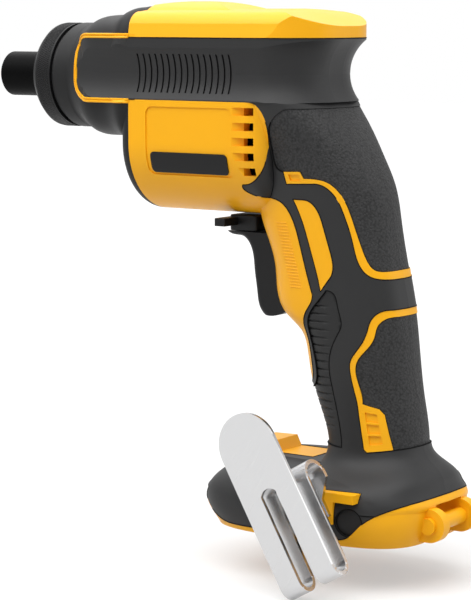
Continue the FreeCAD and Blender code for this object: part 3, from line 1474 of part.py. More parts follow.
# Moulded skin, its inlays and the trim line over the gear case, each side
grip = skin_space.common(band.fuse(smooth_handle))
grip = grip.cut([deck_gap, hook_boss, battery_bay(), lanyard_recess(), flutes(), hook_dish()])
screw_wells = [rod_y(s.screw_head_radius + s.fit, s.screw_seat, room_half, x, z) for x, z in screw_places]
screw_tip = s.screw_seat - s.screw_length
screw_bores = [rod_y(s.screw_radius, screw_tip, s.screw_seat, x, z) for x, z in screw_places]
feature("grip_left", grip)
feature("grip_right", mirrored(grip).cut(screw_wells))
left_inlay_top = inlay_top.common(left_half)
for name, face in (("palm_pad", palm_face), ("heel_pad", heel_face), ("finger_panel", finger_face)):
    pad = left_inlay_top.common(left_prism(face)).cut(bed)
    feature(name + "_left", pad)
    feature(name + "_right", mirrored(pad))
trim_prism = left_prism(band_face(s.trim_width).cut(band_face(0)))
trim = skin_space.common(trim_prism).common(before_seam)
feature("trim_left", trim)
feature("trim_right", mirrored(trim))

# Badge plates, left bare, each in a shallow panel of the motor tube
badge_top = s.badge_drop - s.badge_height / 2
badge = rounded_panel(s.badge_x, s.badge_length, badge_top, s.badge_height, s.badge_corner)
badge = tube_skin(badge, s.badge_depth)
panel = rounded_panel(s.panel_x, s.panel_length, s.panel_drop, s.panel_height, s.panel_corner)
panel = tube_skin(panel, s.panel_depth)
feature("badge_left", badge)
feature("badge_right", mirrored(badge))

# Housing halves
skin_cut = band.fuse(dark_handle).cut(bed).cut(deck_gap)
half_housing = left_outside.common(behind_seam).cut(skin_cut)
half_housing = half_housing.fuse(left_additions).cut(housing_hollows + [badge, panel, lanyard_recess()])
half_housing = half_housing.cut([handle_recesses()] + vent_gussets())
half_housing = half_housing.fuse(lanyard_bar())
feature("housing_left", half_housing.cut(screw_bores + [hook_bore]))
feature("housing_right", mirrored(half_housing.cut(hook_bore)).cut(screw_bores + screw_wells))

# Gear case, with the nose tube in front and a clip rim that the housing halves close on
rim = rod_x(s.stator_radius, s.seam_x, plate_x, motor_z)
rim = rim.cut(rod_x(s.fan_radius - s.skin, s.seam_x, plate_x, motor_z))
clip = rod_x(clip_radius, groove_x, plate_x, motor_z)
clip = clip.cut(rod_x(s.stator_radius - s.skin, groove_x, plate_x, motor_z))
case_outside = outside.common(before_seam).fuse([
    ramp_form(),
    rod_x(s.nose_tube_radius, s.nose_tube_x, chamber_x),
    rod_x(s.case_ring_radius, case_ring_x, case_ring_x + s.case_ring_length),
    rim,
    clip,
])
case_band = left_prism(band_face(s.trim_width)).cut(bed)
feature("gear_case", case_outside.cut([case_band, mirrored(case_band)] + case_hollows))

# Check every piece and write it out
doc.recompute()
faults = []
for item in doc.Objects:
    if {"Invalid", "Error"} & set(item.State):
        faults.append(f"{item.Name}: {item.State}")
for piece in nodes:
    shape = piece.Shape
    if shape.isNull() or not shape.isValid() or not shape.Solids:
        faults.append(f"{piece.Label}: no valid solid")
    else:
        print(f"{piece.Label}: {len(shape.Solids)} solid, {shape.Volume / 1000:.2f} cm3")
if faults:
    raise RuntimeError("; ".join(faults))
os.makedirs("parts", exist_ok=True)
for piece in nodes:
    piece.Shape.exportStep(f"parts/{piece.Label}.step")
print(f"{len(nodes)} pieces written")
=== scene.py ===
# %% [markdown]
# # Dressing a cordless drywall screwdriver
# The CAD model already holds every shape that matters for fit and motion: the yellow clamshell,
# the charcoal moulded skin, the nose, the trigger and the belt hook. Blender's work here is the
# finish: light that shows the forms, materials with the grain of the real ones, and the fine
# relief that is too small for the CAD model. Everything is in metres, in the CAD model's frame:
# the spindle runs along X with the nose towards -X, and Z is up.

# %% Load the frame
import json
import math

import bmesh
import bpy
from mathutils import Matrix, Vector


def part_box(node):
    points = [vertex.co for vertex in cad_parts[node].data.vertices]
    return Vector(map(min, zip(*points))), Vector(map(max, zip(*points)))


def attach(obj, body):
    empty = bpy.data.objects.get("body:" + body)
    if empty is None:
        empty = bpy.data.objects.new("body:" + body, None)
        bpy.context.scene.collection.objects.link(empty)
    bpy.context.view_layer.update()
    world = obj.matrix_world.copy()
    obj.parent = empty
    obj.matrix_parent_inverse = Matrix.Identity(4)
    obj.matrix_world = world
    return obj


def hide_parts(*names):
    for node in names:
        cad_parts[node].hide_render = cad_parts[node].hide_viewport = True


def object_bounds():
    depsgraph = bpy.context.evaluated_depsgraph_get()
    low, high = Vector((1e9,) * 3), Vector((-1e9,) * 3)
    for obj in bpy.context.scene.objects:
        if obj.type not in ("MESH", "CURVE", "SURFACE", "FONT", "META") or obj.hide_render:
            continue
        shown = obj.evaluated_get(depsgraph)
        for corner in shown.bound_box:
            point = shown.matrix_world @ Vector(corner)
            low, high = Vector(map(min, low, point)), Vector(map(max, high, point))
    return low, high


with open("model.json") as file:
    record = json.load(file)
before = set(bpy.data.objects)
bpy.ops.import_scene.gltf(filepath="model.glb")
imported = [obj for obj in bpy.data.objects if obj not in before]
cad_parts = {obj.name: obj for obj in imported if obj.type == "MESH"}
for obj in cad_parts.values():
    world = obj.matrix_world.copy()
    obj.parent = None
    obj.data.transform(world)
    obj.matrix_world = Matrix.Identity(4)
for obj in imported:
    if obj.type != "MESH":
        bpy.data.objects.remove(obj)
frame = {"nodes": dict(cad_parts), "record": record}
nodes = frame["nodes"]
cad_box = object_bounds()
MM = 0.001

# %% [markdown]
# ## Camera
# A product photograph of a tool is taken from far away with a long lens, so that the handle
# doesn't look bent by perspective. The place was solved once from the photograph: the spindle
# axis, the handle and the foot give the direction and the distance. A turn about Z and a small
# dip are all that is needed, because the camera isn't rolled.

# %% Camera at the photograph's viewing angle
CAMERA_PLACE = (0.607494, -0.738539, 0.026035)
CAMERA_TURN = math.radians(35.0)
CAMERA_DIP = math.radians(7.3)
FOCAL_LENGTH = 135.0  # millimetres, as Blender counts lenses and sensors
SENSOR_WIDTH = 36.0


def add_object(name, data):
    """Puts a new object with the given data into the scene."""
    thing = bpy.data.objects.new(name, data)
    bpy.context.scene.collection.objects.link(thing)
    return thing


camera_data = bpy.data.cameras.new("camera")
camera_data.lens = FOCAL_LENGTH
camera_data.sensor_width = SENSOR_WIDTH
camera = add_object("camera", camera_data)
camera.location = CAMERA_PLACE
camera.rotation_euler = (math.pi / 2 - CAMERA_DIP, 0, CAMERA_TURN)
bpy.context.scene.camera = camera
bpy.context.scene.view_settings.view_transform = "Standard"
print("camera at", CAMERA_PLACE)

# %% [markdown]
# ## Writing shaders as sums
# A shader tree is easier to read as a formula than as a list of links. One small class wraps an
# output socket: plus, minus and times on it add Math nodes, and its one method `node` makes any
# other node from a type, its settings and its inputs. An input may be a number or another wire.

# %% A wire in a shader tree
class Wire:
    """One output of a shader tree. Sums and products of wires add Math nodes."""

    def __init__(self, tree, socket=None):
        self.tree = tree
        self.socket = socket

    def node(self, kind, settings=None, inputs=None, output=0):
        made = self.tree.nodes.new(kind)
        for name, value in (settings or {}).items():
            setattr(made, name, value)
        for name, value in (inputs or {}).items():
            if isinstance(value, Wire):
                self.tree.links.new(value.socket, made.inputs[name])
            else:
                made.inputs[name].default_value = value
        return Wire(self.tree, made.outputs[output] if made.outputs else None)

    def maths(self, operation, first, second):
        return self.node("ShaderNodeMath", {"operation": operation}, {0: first, 1: second})

    def __add__(self, other):
        return self.maths("ADD", self, other)

    def __sub__(self, other):
        return self.maths("SUBTRACT", self, other)

    def __rsub__(self, other):
        return self.maths("SUBTRACT", other, self)

    def __mul__(self, other):
        return self.maths("MULTIPLY", self, other)

    __radd__ = __add__
    __rmul__ = __mul__


def new_shader(data, name):
    """An empty shader tree of a new material or world."""
    holder = data.new(name)
    holder.use_nodes = True
    holder.node_tree.nodes.clear()
    return holder, Wire(holder.node_tree)


print("shader helper ready")

# %% [markdown]
# ## Surroundings
# The tool was photographed in a white tent: light from above and from the camera's left, white
# walls all round, nothing to see behind it. The world looks white to the camera, and lights the
# tool less than that, so that the colours don't wash out. It is graded from top to bottom, because
# a tent is brightest under its lamp, and that grade is what shapes a bright metal strip.

# %% White tent
WHITE = (1.0, 1.0, 1.0, 1.0)
WORLD_LIGHT = 0.42  # the share of white that lights the tool
TENT_LOW = 0.45  # how bright the tent is at its foot, against its top
GRADE_START = -0.5  # the grade runs between these heights of a ray's direction
GRADE_END = 0.6


def seen_directly(wires):
    """1 for rays from the camera, in reflections and through glass, 0 for rays that light."""
    paths = [wires.node("ShaderNodeLightPath", output=name)
             for name in ("Is Camera Ray", "Is Glossy Ray", "Is Transmission Ray")]
    return wires.maths("MINIMUM", paths[0] + paths[1] + paths[2], 1.0)


world, wires = new_shader(bpy.data.worlds, "white_tent")
direction = wires.node("ShaderNodeTexCoord", output="Generated")
steepness = wires.node("ShaderNodeSeparateXYZ", inputs={"Vector": direction}, output="Z")
graded = wires.node("ShaderNodeMapRange", inputs={
    "Value": steepness, "From Min": GRADE_START, "From Max": GRADE_END,
    "To Min": TENT_LOW, "To Max": 1.0})
camera_ray = wires.node("ShaderNodeLightPath", output="Is Camera Ray")
level = (seen_directly(wires) * (1.0 - WORLD_LIGHT) + WORLD_LIGHT) * graded
strength = wires.maths("MAXIMUM", level, camera_ray)
sky = wires.node("ShaderNodeBackground", inputs={"Color": WHITE, "Strength": strength})
wires.node("ShaderNodeOutputWorld", inputs={"Surface": sky})
bpy.context.scene.world = world
print("world lights at", WORLD_LIGHT)

# %% [markdown]
# ## Lamps
# Large area lamps give soft edges on the highlights. The strongest hangs overhead, a weak one at
# the camera's left fills the shadows, and two behind the tool draw thin bright lines along the
# edges of the dark skin, which would otherwise run together.

# %% Area lamps
LAMPS = {
    # name: place, aimed at, width, height, watts
    "overhead": ((0.05, -0.30, 0.85), (0.09, 0.0, -0.05), 1.5, 1.2, 18.5),
    "camera_left": ((-0.50, -0.70, 0.60), (0.06, 0.0, -0.06), 0.9, 0.9, 1.5),
    "behind_right": ((0.85, 0.35, 0.15), (0.12, 0.0, -0.08), 0.7, 1.1, 2.5),
    "behind_left": ((-0.45, 0.55, 0.65), (0.08, 0.0, 0.0), 0.9, 0.7, 2.0),
}
for name, (place, target, width, height, watts) in LAMPS.items():
    lamp = bpy.data.lights.new(name, "AREA")
    lamp.shape = "RECTANGLE"
    lamp.size = width
    lamp.size_y = height
    lamp.energy = watts
    holder = add_object(name, lamp)
    holder.location = place
    aim = Vector(target) - Vector(place)
    holder.rotation_euler = aim.to_track_quat("-Z", "Y").to_euler()
print(len(LAMPS), "lamps")

# %% [markdown]
# ## Floor
# The floor is a pale sheet under the tool that catches its shadow. To the camera and in reflections
# it also glows, more with the distance, so that it goes over into the white tent with no horizon.

# %% Pale sheet
PALE = (0.50, 0.50, 0.50, 1.0)
FLOOR_SIZE = 8.0
GLOW_NEAR = 0.42
GLOW_FAR = 0.85
LIT_RADIUS = 0.25
FADED_RADIUS = 1.4


def add_mesh(name, bm, shader):
    """Puts a finished bmesh into the scene as an object with one material."""
    mesh = bpy.data.meshes.new(name)
    bm.to_mesh(mesh)
    bm.free()
    mesh.materials.append(shader)
    return add_object(name, mesh)


def object_place(wires):
    """The place on a piece, in metres."""
    return wires.node("ShaderNodeTexCoord", output="Object")


floor_shader, wires = new_shader(bpy.data.materials, "pale_floor")
matt = wires.node("ShaderNodeBsdfDiffuse", inputs={"Color": PALE})
distance = wires.node("ShaderNodeVectorMath", {"operation": "LENGTH"},
                      {0: object_place(wires)}, "Value")
faded = wires.node("ShaderNodeMapRange", {"interpolation_type": "SMOOTHSTEP"}, {
    "Value": distance, "From Min": LIT_RADIUS, "From Max": FADED_RADIUS,
    "To Min": GLOW_NEAR, "To Max": GLOW_FAR})
glow = wires.node("ShaderNodeEmission", inputs={
    "Color": WHITE, "Strength": seen_directly(wires) * faded})
sheet = wires.node("ShaderNodeAddShader", inputs={0: matt, 1: glow})
wires.node("ShaderNodeOutputMaterial", inputs={"Surface": sheet})

bm = bmesh.new()
bmesh.ops.create_grid(bm, x_segments=1, y_segments=1, size=FLOOR_SIZE / 2)
bmesh.ops.translate(bm, verts=bm.verts, vec=(0, 0, cad_box[0].z))
floor = add_mesh("floor", bm, floor_shader)
print("floor at", round(cad_box[0].z, 4))

# %% [markdown]
# ## Parts of every finish
# All finishes here are built from the same few parts: a place on the piece, a noise of a given
# size, a colour that darkens where a mask is low, a bump, and the Principled surface at the end.
# Object coordinates keep a pattern at its real size and in its place when the piece moves.

# %% Shader parts
MIX_FACTOR, MIX_LOW, MIX_HIGH = 0, 6, 7  # sockets of a Mix node that are used for colours
MIX_COLOUR = 2


def noise(wires, place, size, detail=2.0):
    """Noise whose lumps are about the given size in metres, from 0 to 1."""
    return wires.node("ShaderNodeTexNoise", inputs={
        "Vector": place, "Scale": 1 / size, "Detail": detail})


def tinted(wires, shade, amount, mask):
    """A colour that goes darker by the amount where the mask is low."""
    dark = tuple(part * (1 - amount) for part in shade)
    return wires.node("ShaderNodeMix", {"data_type": "RGBA"}, {
        MIX_FACTOR: mask, MIX_LOW: dark + (1.0,), MIX_HIGH: shade + (1.0,)}, MIX_COLOUR)


def bump(wires, height, depth):
    """A relief as deep as height times depth, in metres."""
    return wires.node("ShaderNodeBump", inputs={
        "Height": height, "Distance": depth, "Strength": 1.0})


def surface(wires, inputs):
    """Ends a shader with a Principled surface."""
    body = wires.node("ShaderNodeBsdfPrincipled", inputs=inputs)
    wires.node("ShaderNodeOutputMaterial", inputs={"Surface": body})


print("parts of the finishes ready")

# %% [markdown]
# ## Moulded plastics and rubbers
# All of the casing comes out of steel moulds whose walls are spark-eroded or etched, and the
# plastic copies that grain. It is far too fine to model, so it is a bump: a noise a few tenths of
# a millimetre across. The same noise moves the roughness a little, because the tops of the grain
# are polished by handling. One function makes all of these finishes from a few numbers.

# %% Grained mouldings
MOTTLE = 60  # the mottling of a moulding is this many times as large as its grain
GRAIN_SHARE = 0.4  # how much of the colour's change is grain, against mottling
MOULD_SPREAD = 0.10  # how far grain and mottling each move the roughness


def moulded(name, shade, roughness, grain, depth, tint, gloss, cut=None):
    """A plastic or rubber with a grain of a size and depth, and cut, a form pressed into it and
    darkened with painted shade.
    """
    material, wires = new_shader(bpy.data.materials, name)
    place = object_place(wires)
    fine = noise(wires, place, grain)
    broad = noise(wires, place, grain * MOTTLE)
    height = fine * depth
    mask = fine * GRAIN_SHARE + broad * (1 - GRAIN_SHARE)
    if cut:
        hollow_and_shade, hollow_depth = cut(wires, place)
        height = height - hollow_and_shade * hollow_depth
        # Painted shade: the hollow of a cut is darkened, as if shadowed.
        mask = mask * (1.0 - hollow_and_shade)
    surface(wires, {
        "Base Color": tinted(wires, shade, tint, mask),
        "Roughness": fine * MOULD_SPREAD + broad * MOULD_SPREAD + (roughness - MOULD_SPREAD),
        "Specular IOR Level": gloss,
        "Normal": bump(wires, height, 1.0),
    })
    return material


MOULDINGS = {
    # slot: name, colour, roughness, size of the grain, its depth, tint, gloss
    "yellow_plastic": ("satin_yellow", (0.96, 0.45, 0.006), 0.38,
                       0.35 * MM, 0.010 * MM, 0.06, 0.25),
    "case_plastic": ("case_charcoal", (0.014, 0.014, 0.0145), 0.50,
                     0.30 * MM, 0.016 * MM, 0.2, 0.18),
    "dark_plastic": ("control_black", (0.008, 0.008, 0.0085), 0.42,
                     0.25 * MM, 0.010 * MM, 0.2, 0.20),
    "grip_rubber": ("smooth_skin", (0.018, 0.018, 0.0185), 0.50,
                    0.35 * MM, 0.020 * MM, 0.2, 0.30),
}
FINISHES = {slot: moulded(*row) for slot, row in MOULDINGS.items()}
print(sorted(FINISHES))

# %% [markdown]
# ## Pebbled pads
# The palm and heel pads are pressed into a mould with an etched pebble, so the hand doesn't slip.
# Pebbles are cells with round tops and narrow valleys, which is what a Voronoi distance gives:
# high at the edge and low in the middle, so it is turned over. A noise on top of it breaks the
# cells up, so that no two look alike. The valleys are painted darker than the tops: painted shade.

# %% Pebble finish
PEBBLE = 0.9 * MM
PEBBLE_DEPTH = 0.32 * MM
PEBBLE_SMOOTHNESS = 0.6
PEBBLE_LUMP = 0.6 * MM
PEBBLE_DETAIL = 3.0
CELL_SHARE = 0.6
LUMP_SHARE = 0.7
# The colour's change between these heights is painted shade, darkest in the valleys.
VALLEY, TOP = 0.42, 0.80  # heights between which the colour changes
PAD_SHADE = (0.028, 0.028, 0.0285)
PAD_VALLEY_SHADE = 0.75
PAD_ROUGHNESS = 0.66
PAD_POLISH = 0.12
PAD_GLOSS = 0.3

pads, wires = new_shader(bpy.data.materials, "pebbled_pads")
place = object_place(wires)
lumps = noise(wires, place, PEBBLE_LUMP, PEBBLE_DETAIL)
cells = wires.node("ShaderNodeTexVoronoi", {"feature": "SMOOTH_F1"}, {
    "Vector": place, "Scale": 1 / PEBBLE, "Smoothness": PEBBLE_SMOOTHNESS, "Randomness": 1.0})
tops = (1.0 - cells) * CELL_SHARE + lumps * LUMP_SHARE
valley_shade_mask = wires.node("ShaderNodeMapRange", inputs={
    "Value": tops, "From Min": VALLEY, "From Max": TOP})
surface(wires, {
    # Painted shade: the valleys between the pebbles are darkened as if shadowed.
    "Base Color": tinted(wires, PAD_SHADE, PAD_VALLEY_SHADE, valley_shade_mask),
    "Roughness": PAD_ROUGHNESS - tops * PAD_POLISH,
    "Specular IOR Level": PAD_GLOSS,
    "Normal": bump(wires, tops, PEBBLE_DEPTH),
})
FINISHES["pad_rubber"] = pads
print("pebbles of", PEBBLE, "m")

# %% [markdown]
# ## Finish of the finger panel
# The front of the handle has a panel where the fingers wrap round, with level grooves that run in
# from the front and die out towards the back edge. Their shape is modelled further down. The finish
# paints shade into them, darkening them as if shadowed, and softens their edges with a slight
# bump: the fraction of Z over the pitch gives every groove at once.

# %% Grooves with painted shade
GROOVES = 16
GROOVE_PITCH = 3.11 * MM
GROOVE_TOP = -85.6 * MM
GROOVE_LOW = GROOVE_TOP - GROOVES * GROOVE_PITCH
FADE_START = 141 * MM
FADE_END = 147 * MM
FADE_LEAN = 0.05
FIELD_BLUR = 0.1 * MM
SHADE_START, SHADE_END, SHADE_BLUR = 0.08, 0.28, 0.05  # shares of the pitch
SHADE_DEPTH = 0.1 * MM


def between(wires, value, low, high, blur):
    """1 where a value lies between low and high, with soft ends."""
    rise, fall = [wires.node("ShaderNodeMapRange", {"interpolation_type": "SMOOTHSTEP"}, {
        "Value": value, "From Min": end - blur, "From Max": end + blur}) for end in (low, high)]
    return rise * (1.0 - fall)


def finger_grooves(wires, place):
    """Level grooves that fade out towards the back, as a mask for their bump and their painted
    shade, and how deep their bump is.
    """
    x, z = [wires.node("ShaderNodeSeparateXYZ", inputs={"Vector": place}, output=axis)
            for axis in "XZ"]
    phase = wires.maths("FRACT", (GROOVE_TOP - z) * (1 / GROOVE_PITCH), 0.0)
    fade = wires.node("ShaderNodeMapRange", inputs={
        "Value": x + (z - GROOVE_TOP) * FADE_LEAN, "From Min": FADE_START, "From Max": FADE_END,
        "To Min": 1.0, "To Max": 0.0})
    field = between(wires, z, GROOVE_LOW, GROOVE_TOP, FIELD_BLUR) * fade
    return field * between(wires, phase, SHADE_START, SHADE_END, SHADE_BLUR), SHADE_DEPTH


FINGER_FINISH = moulded("grooved_panel", (0.020, 0.020, 0.0205), 0.55, 0.35 * MM, 0.020 * MM,
                        tint=0.85, gloss=0.3, cut=finger_grooves)
print("grooves every", GROOVE_PITCH, "m")

# %% [markdown]
# ## Metals
# The hook is a strip of bright plated steel, rolled along its length: the rolling leaves streaks
# that are long along the strip and fine across it. A noise stretched by a Mapping node gives such
# streaks. Turned parts such as the nose sleeve have rings instead, left by the lathe's tool, so
# their noise is fine along X and long across it. The sleeve's black oxide hides the metal's own
# mirror, so it is shaded as a dark coat. The other metals are inside the casing.

# %% Metal finishes
HOOK_TILT = math.radians(30.0)
FINE = 0.15 * MM
LONG = 12 * MM
METAL_DETAIL = 3.0
METAL_TINT = 0.10
METAL_SPREAD = 0.12


def metal(name, shade, roughness, streak, depth, turn=0.0, metallic=1.0, gloss=0.5):
    """A metal with streaks: streak is the size of its lumps along X, Y and Z."""
    material, wires = new_shader(bpy.data.materials, name)
    turned = wires.node("ShaderNodeMapping", inputs={
        "Vector": object_place(wires), "Rotation": (0.0, turn, 0.0)})
    stretched = wires.node("ShaderNodeMapping", inputs={
        "Vector": turned, "Scale": tuple(1 / size for size in streak)})
    lines = noise(wires, stretched, 1.0, METAL_DETAIL)
    surface(wires, {
        "Base Color": tinted(wires, shade, METAL_TINT, lines),
        "Metallic": metallic,
        "Roughness": lines * METAL_SPREAD + (roughness - METAL_SPREAD / 2),
        "Specular IOR Level": gloss,
        "Normal": bump(wires, lines, depth),
    })
    return material


METALS = {
    # slot: name, colour, roughness, streak, depth, and where needed turn, metallic, gloss
    "hook_steel": ("plated_strip", (0.61, 0.61, 0.615), 0.25, (FINE, FINE, LONG), 0.002 * MM,
                   -HOOK_TILT),
    "steel": ("ground_steel", (0.56, 0.56, 0.58), 0.32, (FINE, LONG, LONG), 0.003 * MM),
    "lamination": ("sheet_stack", (0.30, 0.30, 0.32), 0.45, (0.5 * MM, LONG, LONG), 0.02 * MM),
    "aluminium": ("cast_plate", (0.62, 0.63, 0.64), 0.40, (FINE, FINE, FINE), 0.01 * MM),
    "copper": ("copper_wire", (0.60, 0.26, 0.12), 0.30, (LONG, 0.7 * MM, 0.7 * MM), 0.05 * MM),
    "bronze": ("sintered_bush", (0.42, 0.26, 0.11), 0.45, (FINE, FINE, FINE), 0.01 * MM),
    "black_metal": ("black_oxide", (0.0015, 0.0015, 0.0016), 0.42, (0.35 * MM, LONG, LONG),
                    0.02 * MM, 0.0, 0.0, 0.04),
}
FINISHES.update({slot: metal(*row) for slot, row in METALS.items()})
print(len(FINISHES), "finishes")

# %% [markdown]
# ## Board and lens
# The controller and the sensor board are potted circuit boards that show only as a green glint
# through the vents, so the recipe of the mouldings is enough. The lamp's lens is clear plastic with
# a slight ripple.

# %% Board and lens finishes
LENS_SHADE = (0.92, 0.95, 0.97, 1.0)
LENS_RIPPLE = 1.2 * MM
LENS_DEPTH = 0.02 * MM
LENS_SPREAD = 0.05
LENS_ROUGHNESS = 0.08
LENS_CLEARNESS = 0.8

FINISHES["board"] = moulded("potted_board", (0.020, 0.100, 0.040), 0.35, 0.8 * MM, 0.02 * MM,
                            tint=0.3, gloss=0.5)
clear, wires = new_shader(bpy.data.materials, "clear_lens")
ripple = noise(wires, object_place(wires), LENS_RIPPLE)
surface(wires, {
    "Base Color": LENS_SHADE,
    "Roughness": ripple * LENS_SPREAD + LENS_ROUGHNESS,
    "Transmission Weight": LENS_CLEARNESS,
    "Normal": bump(wires, ripple, LENS_DEPTH),
})
FINISHES["lens"] = clear
print(len(FINISHES), "finishes in all")

# %% [markdown]
# ## Dressing the CAD pieces
# The CAD record names a material slot for every piece, and each slot has its finish by now, so one
# loop dresses them all. Only the finger panels differ from their slot, because of their grooves.

# %% Put the finishes on the CAD pieces
slot_of = {row["node"]: row["material_slot"] for row in frame["record"]["subparts"]}
for name, piece in nodes.items():
    piece.data.materials.clear()
    grooved = name.startswith("finger_panel")
    piece.data.materials.append(FINGER_FINISH if grooved else FINISHES[slot_of[name]])
print("dressed", len(slot_of), "pieces")

# %% [markdown]
# ## Broken edges
# A stamped strip and a moulded control have no knife edges: the corners are broken by a few tenths
# of a millimetre, and those narrow faces are what glints. A CAD mesh is loose triangles, so a Weld
# modifier joins them first, and a Bevel on sharp edges alone does the rest. The CAD mesh stays as
# it is.

# %% Soften the edges that catch the light
EDGE_BREAKS = {"belt_hook": 0.25 * MM, "trigger": 0.5 * MM, "reverse_lever": 0.35 * MM}
WELD_REACH = 0.005 * MM
BREAK_SEGMENTS = 2
BREAK_ANGLE = math.radians(40)
for name, width in EDGE_BREAKS.items():
    weld = nodes[name].modifiers.new("weld", "WELD")
    weld.merge_threshold = WELD_REACH
    soft = nodes[name].modifiers.new("break_edges", "BEVEL")
    soft.width = width
    soft.segments = BREAK_SEGMENTS
    soft.limit_method = "ANGLE"
    soft.angle_limit = BREAK_ANGLE
print("edges broken on", sorted(EDGE_BREAKS))

# %% [markdown]
# ## Finding the rims
# The outlines of the inlays are needed twice, for dark gaps and for the round trim, and they come
# from the pieces themselves. A rim is a sharp edge where an outer face turns into a side wall. What
# is outer depends on the middle line of the tube, the handle or the foot, whichever is near: an
# outer face looks away from it. The upright flutes of the side band and the parting plane have
# sharp edges too, and those are left out.

# %% Rims of the inlays
TUBE_AXIS_Z = -12 * MM
TUBE_LOW = -46 * MM
HANDLE_X, HANDLE_Z, HANDLE_LEAN = 138 * MM, -60 * MM, 0.27
HANDLE_LOW = -146 * MM
FOOT_MIDDLE = (140 * MM, 0, -160 * MM)
FLUTES_X = (60 * MM, 128 * MM)
FLUTES_Z = (-16 * MM, 13 * MM)
PARTING_HALF = 0.3 * MM
RIM_ANGLE = math.radians(50)
LOOKS_OUT = 0.5  # least cosine between an outer face's normal and the way out


def middle_line(point):
    """The nearest point on the middle line of the tube, the handle or the foot."""
    if point.z > TUBE_LOW:
        return Vector((point.x, 0, TUBE_AXIS_Z))
    if point.z > HANDLE_LOW:
        return Vector((HANDLE_X + (HANDLE_Z - point.z) * HANDLE_LEAN, 0, point.z))
    return Vector(FOOT_MIDDLE)


def on_rim(edge):
    """True where an outer face meets a side wall, away from the flutes and the parting plane."""
    if len(edge.link_faces) != 2 or edge.calc_face_angle(0.0) < RIM_ANGLE:
        return False
    middle = (edge.verts[0].co + edge.verts[1].co) / 2
    in_flutes = (FLUTES_X[0] < middle.x < FLUTES_X[1]
                 and FLUTES_Z[0] < middle.z < FLUTES_Z[1])
    if in_flutes or abs(middle.y) < PARTING_HALF:
        return False
    outward = (middle - middle_line(middle)).normalized()
    return max(face.normal.dot(outward) for face in edge.link_faces) > LOOKS_OUT


print("a rim turns by at least", round(math.degrees(RIM_ANGLE)), "degrees")

# %% [markdown]
# ## Beads along edges
# Gaps, trim and ribs are all thin round lines on the casing. The quick way to such a line is a
# curve with a round section. So a merged copy of a CAD piece loses its faces and all edges but the
# wanted ones, becomes a curve, gets its roundness, and is made a mesh again.

# %% Lay a bead
MERGE = 0.01 * MM
BEAD_ROUNDNESS = 1


def merged_copy(name):
    """A copy of a CAD piece's mesh whose loose triangles are joined."""
    bm = bmesh.new()
    bm.from_mesh(nodes[name].data)
    bmesh.ops.remove_doubles(bm, verts=bm.verts, dist=MERGE)
    bm.normal_update()
    return bm


def keep_edges(bm, kept):
    """Takes away all faces, and all edges but the kept ones."""
    spare = [edge for edge in bm.edges if edge not in kept]
    bmesh.ops.delete(bm, geom=bm.faces[:], context="FACES_ONLY")
    bmesh.ops.delete(bm, geom=spare, context="EDGES")


def bead(name, bm, radius, shader):
    """Makes the edges of a mesh a round bead on the casing."""
    mesh = bpy.data.meshes.new(name)
    bm.to_mesh(mesh)
    bm.free()
    line = add_object(name, mesh)
    bpy.ops.object.select_all(action="DESELECT")
    line.select_set(True)
    bpy.context.view_layer.objects.active = line
    bpy.ops.object.convert(target="CURVE")
    line.data.bevel_depth = radius
    line.data.bevel_resolution = BEAD_ROUNDNESS
    line.data.use_fill_caps = True
    bpy.ops.object.convert(target="MESH")
    line.data.materials.append(shader)
    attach(line, "casing")
    return len(line.data.polygons)


print("bead helpers ready")

# %% [markdown]
# ## Beads along rims
# Not every sharp edge that looks like a rim is one: screw holes and steps leave short bits. Edges
# that hang together are counted as one chain, and a chain that is too short to be a rim is dropped.
# Where a line has a small break, its loose ends are joined again.

# %% Follow the rims of a piece
SHORTEST_RIM = 16 * MM


def chains(bm):
    """The lists of edges that hang together."""
    seen = set()
    found = []
    for first in bm.edges:
        if first in seen:
            continue
        seen.add(first)
        chain = [first]
        for edge in chain:  # the chain grows while it is read
            for other in (*edge.verts[0].link_edges, *edge.verts[1].link_edges):
                if other not in seen:
                    seen.add(other)
                    chain.append(other)
        found.append(chain)
    return found


def join_ends(bm, reach):
    """Bridges the breaks in a line that are shorter than the reach."""
    ends = [corner for corner in bm.verts if len(corner.link_edges) == 1]
    for corner in ends:
        near = [other for other in ends
                if other is not corner and (other.co - corner.co).length < reach]
        for other in near:
            if not bm.edges.get((corner, other)):
                bm.edges.new((corner, other))


def rim_bead(name, ending, radius, shader, reach=0.0):
    """A bead along the rims of one CAD piece, over breaks that are shorter than the reach."""
    bm = merged_copy(name)
    keep_edges(bm, {edge for edge in bm.edges if on_rim(edge)})
    for chain in chains(bm):
        if sum(edge.calc_length() for edge in chain) < SHORTEST_RIM:
            bmesh.ops.delete(bm, geom=chain, context="EDGES")
    join_ends(bm, reach)
    return bead(name + ending, bm, radius, shader)


print("rims shorter than", SHORTEST_RIM, "m get no bead")

# %% [markdown]
# ## Gaps round the inlays
# Two mouldings never meet without a gap: round each pad, and where the dark skin ends at the
# yellow, there is a slit a few tenths of a millimetre wide that swallows the light. A boolean cut
# along such winding lines is fragile, and from outside a slit is only a dark line, so a thin dark
# bead stands for it, its colour painted shade in place of the slit's shadow.

# %% Gap lines of painted shade
GAP_RADIUS = 0.22 * MM
GAP_SHADE = (0.006, 0.006, 0.006)
GAP_TINT = 0.5
GAP_ROUGHNESS = 0.75
GAP_SPREAD = 0.1
GAP_GLOSS = 0.1
GAP_MOTTLE = 0.6 * MM

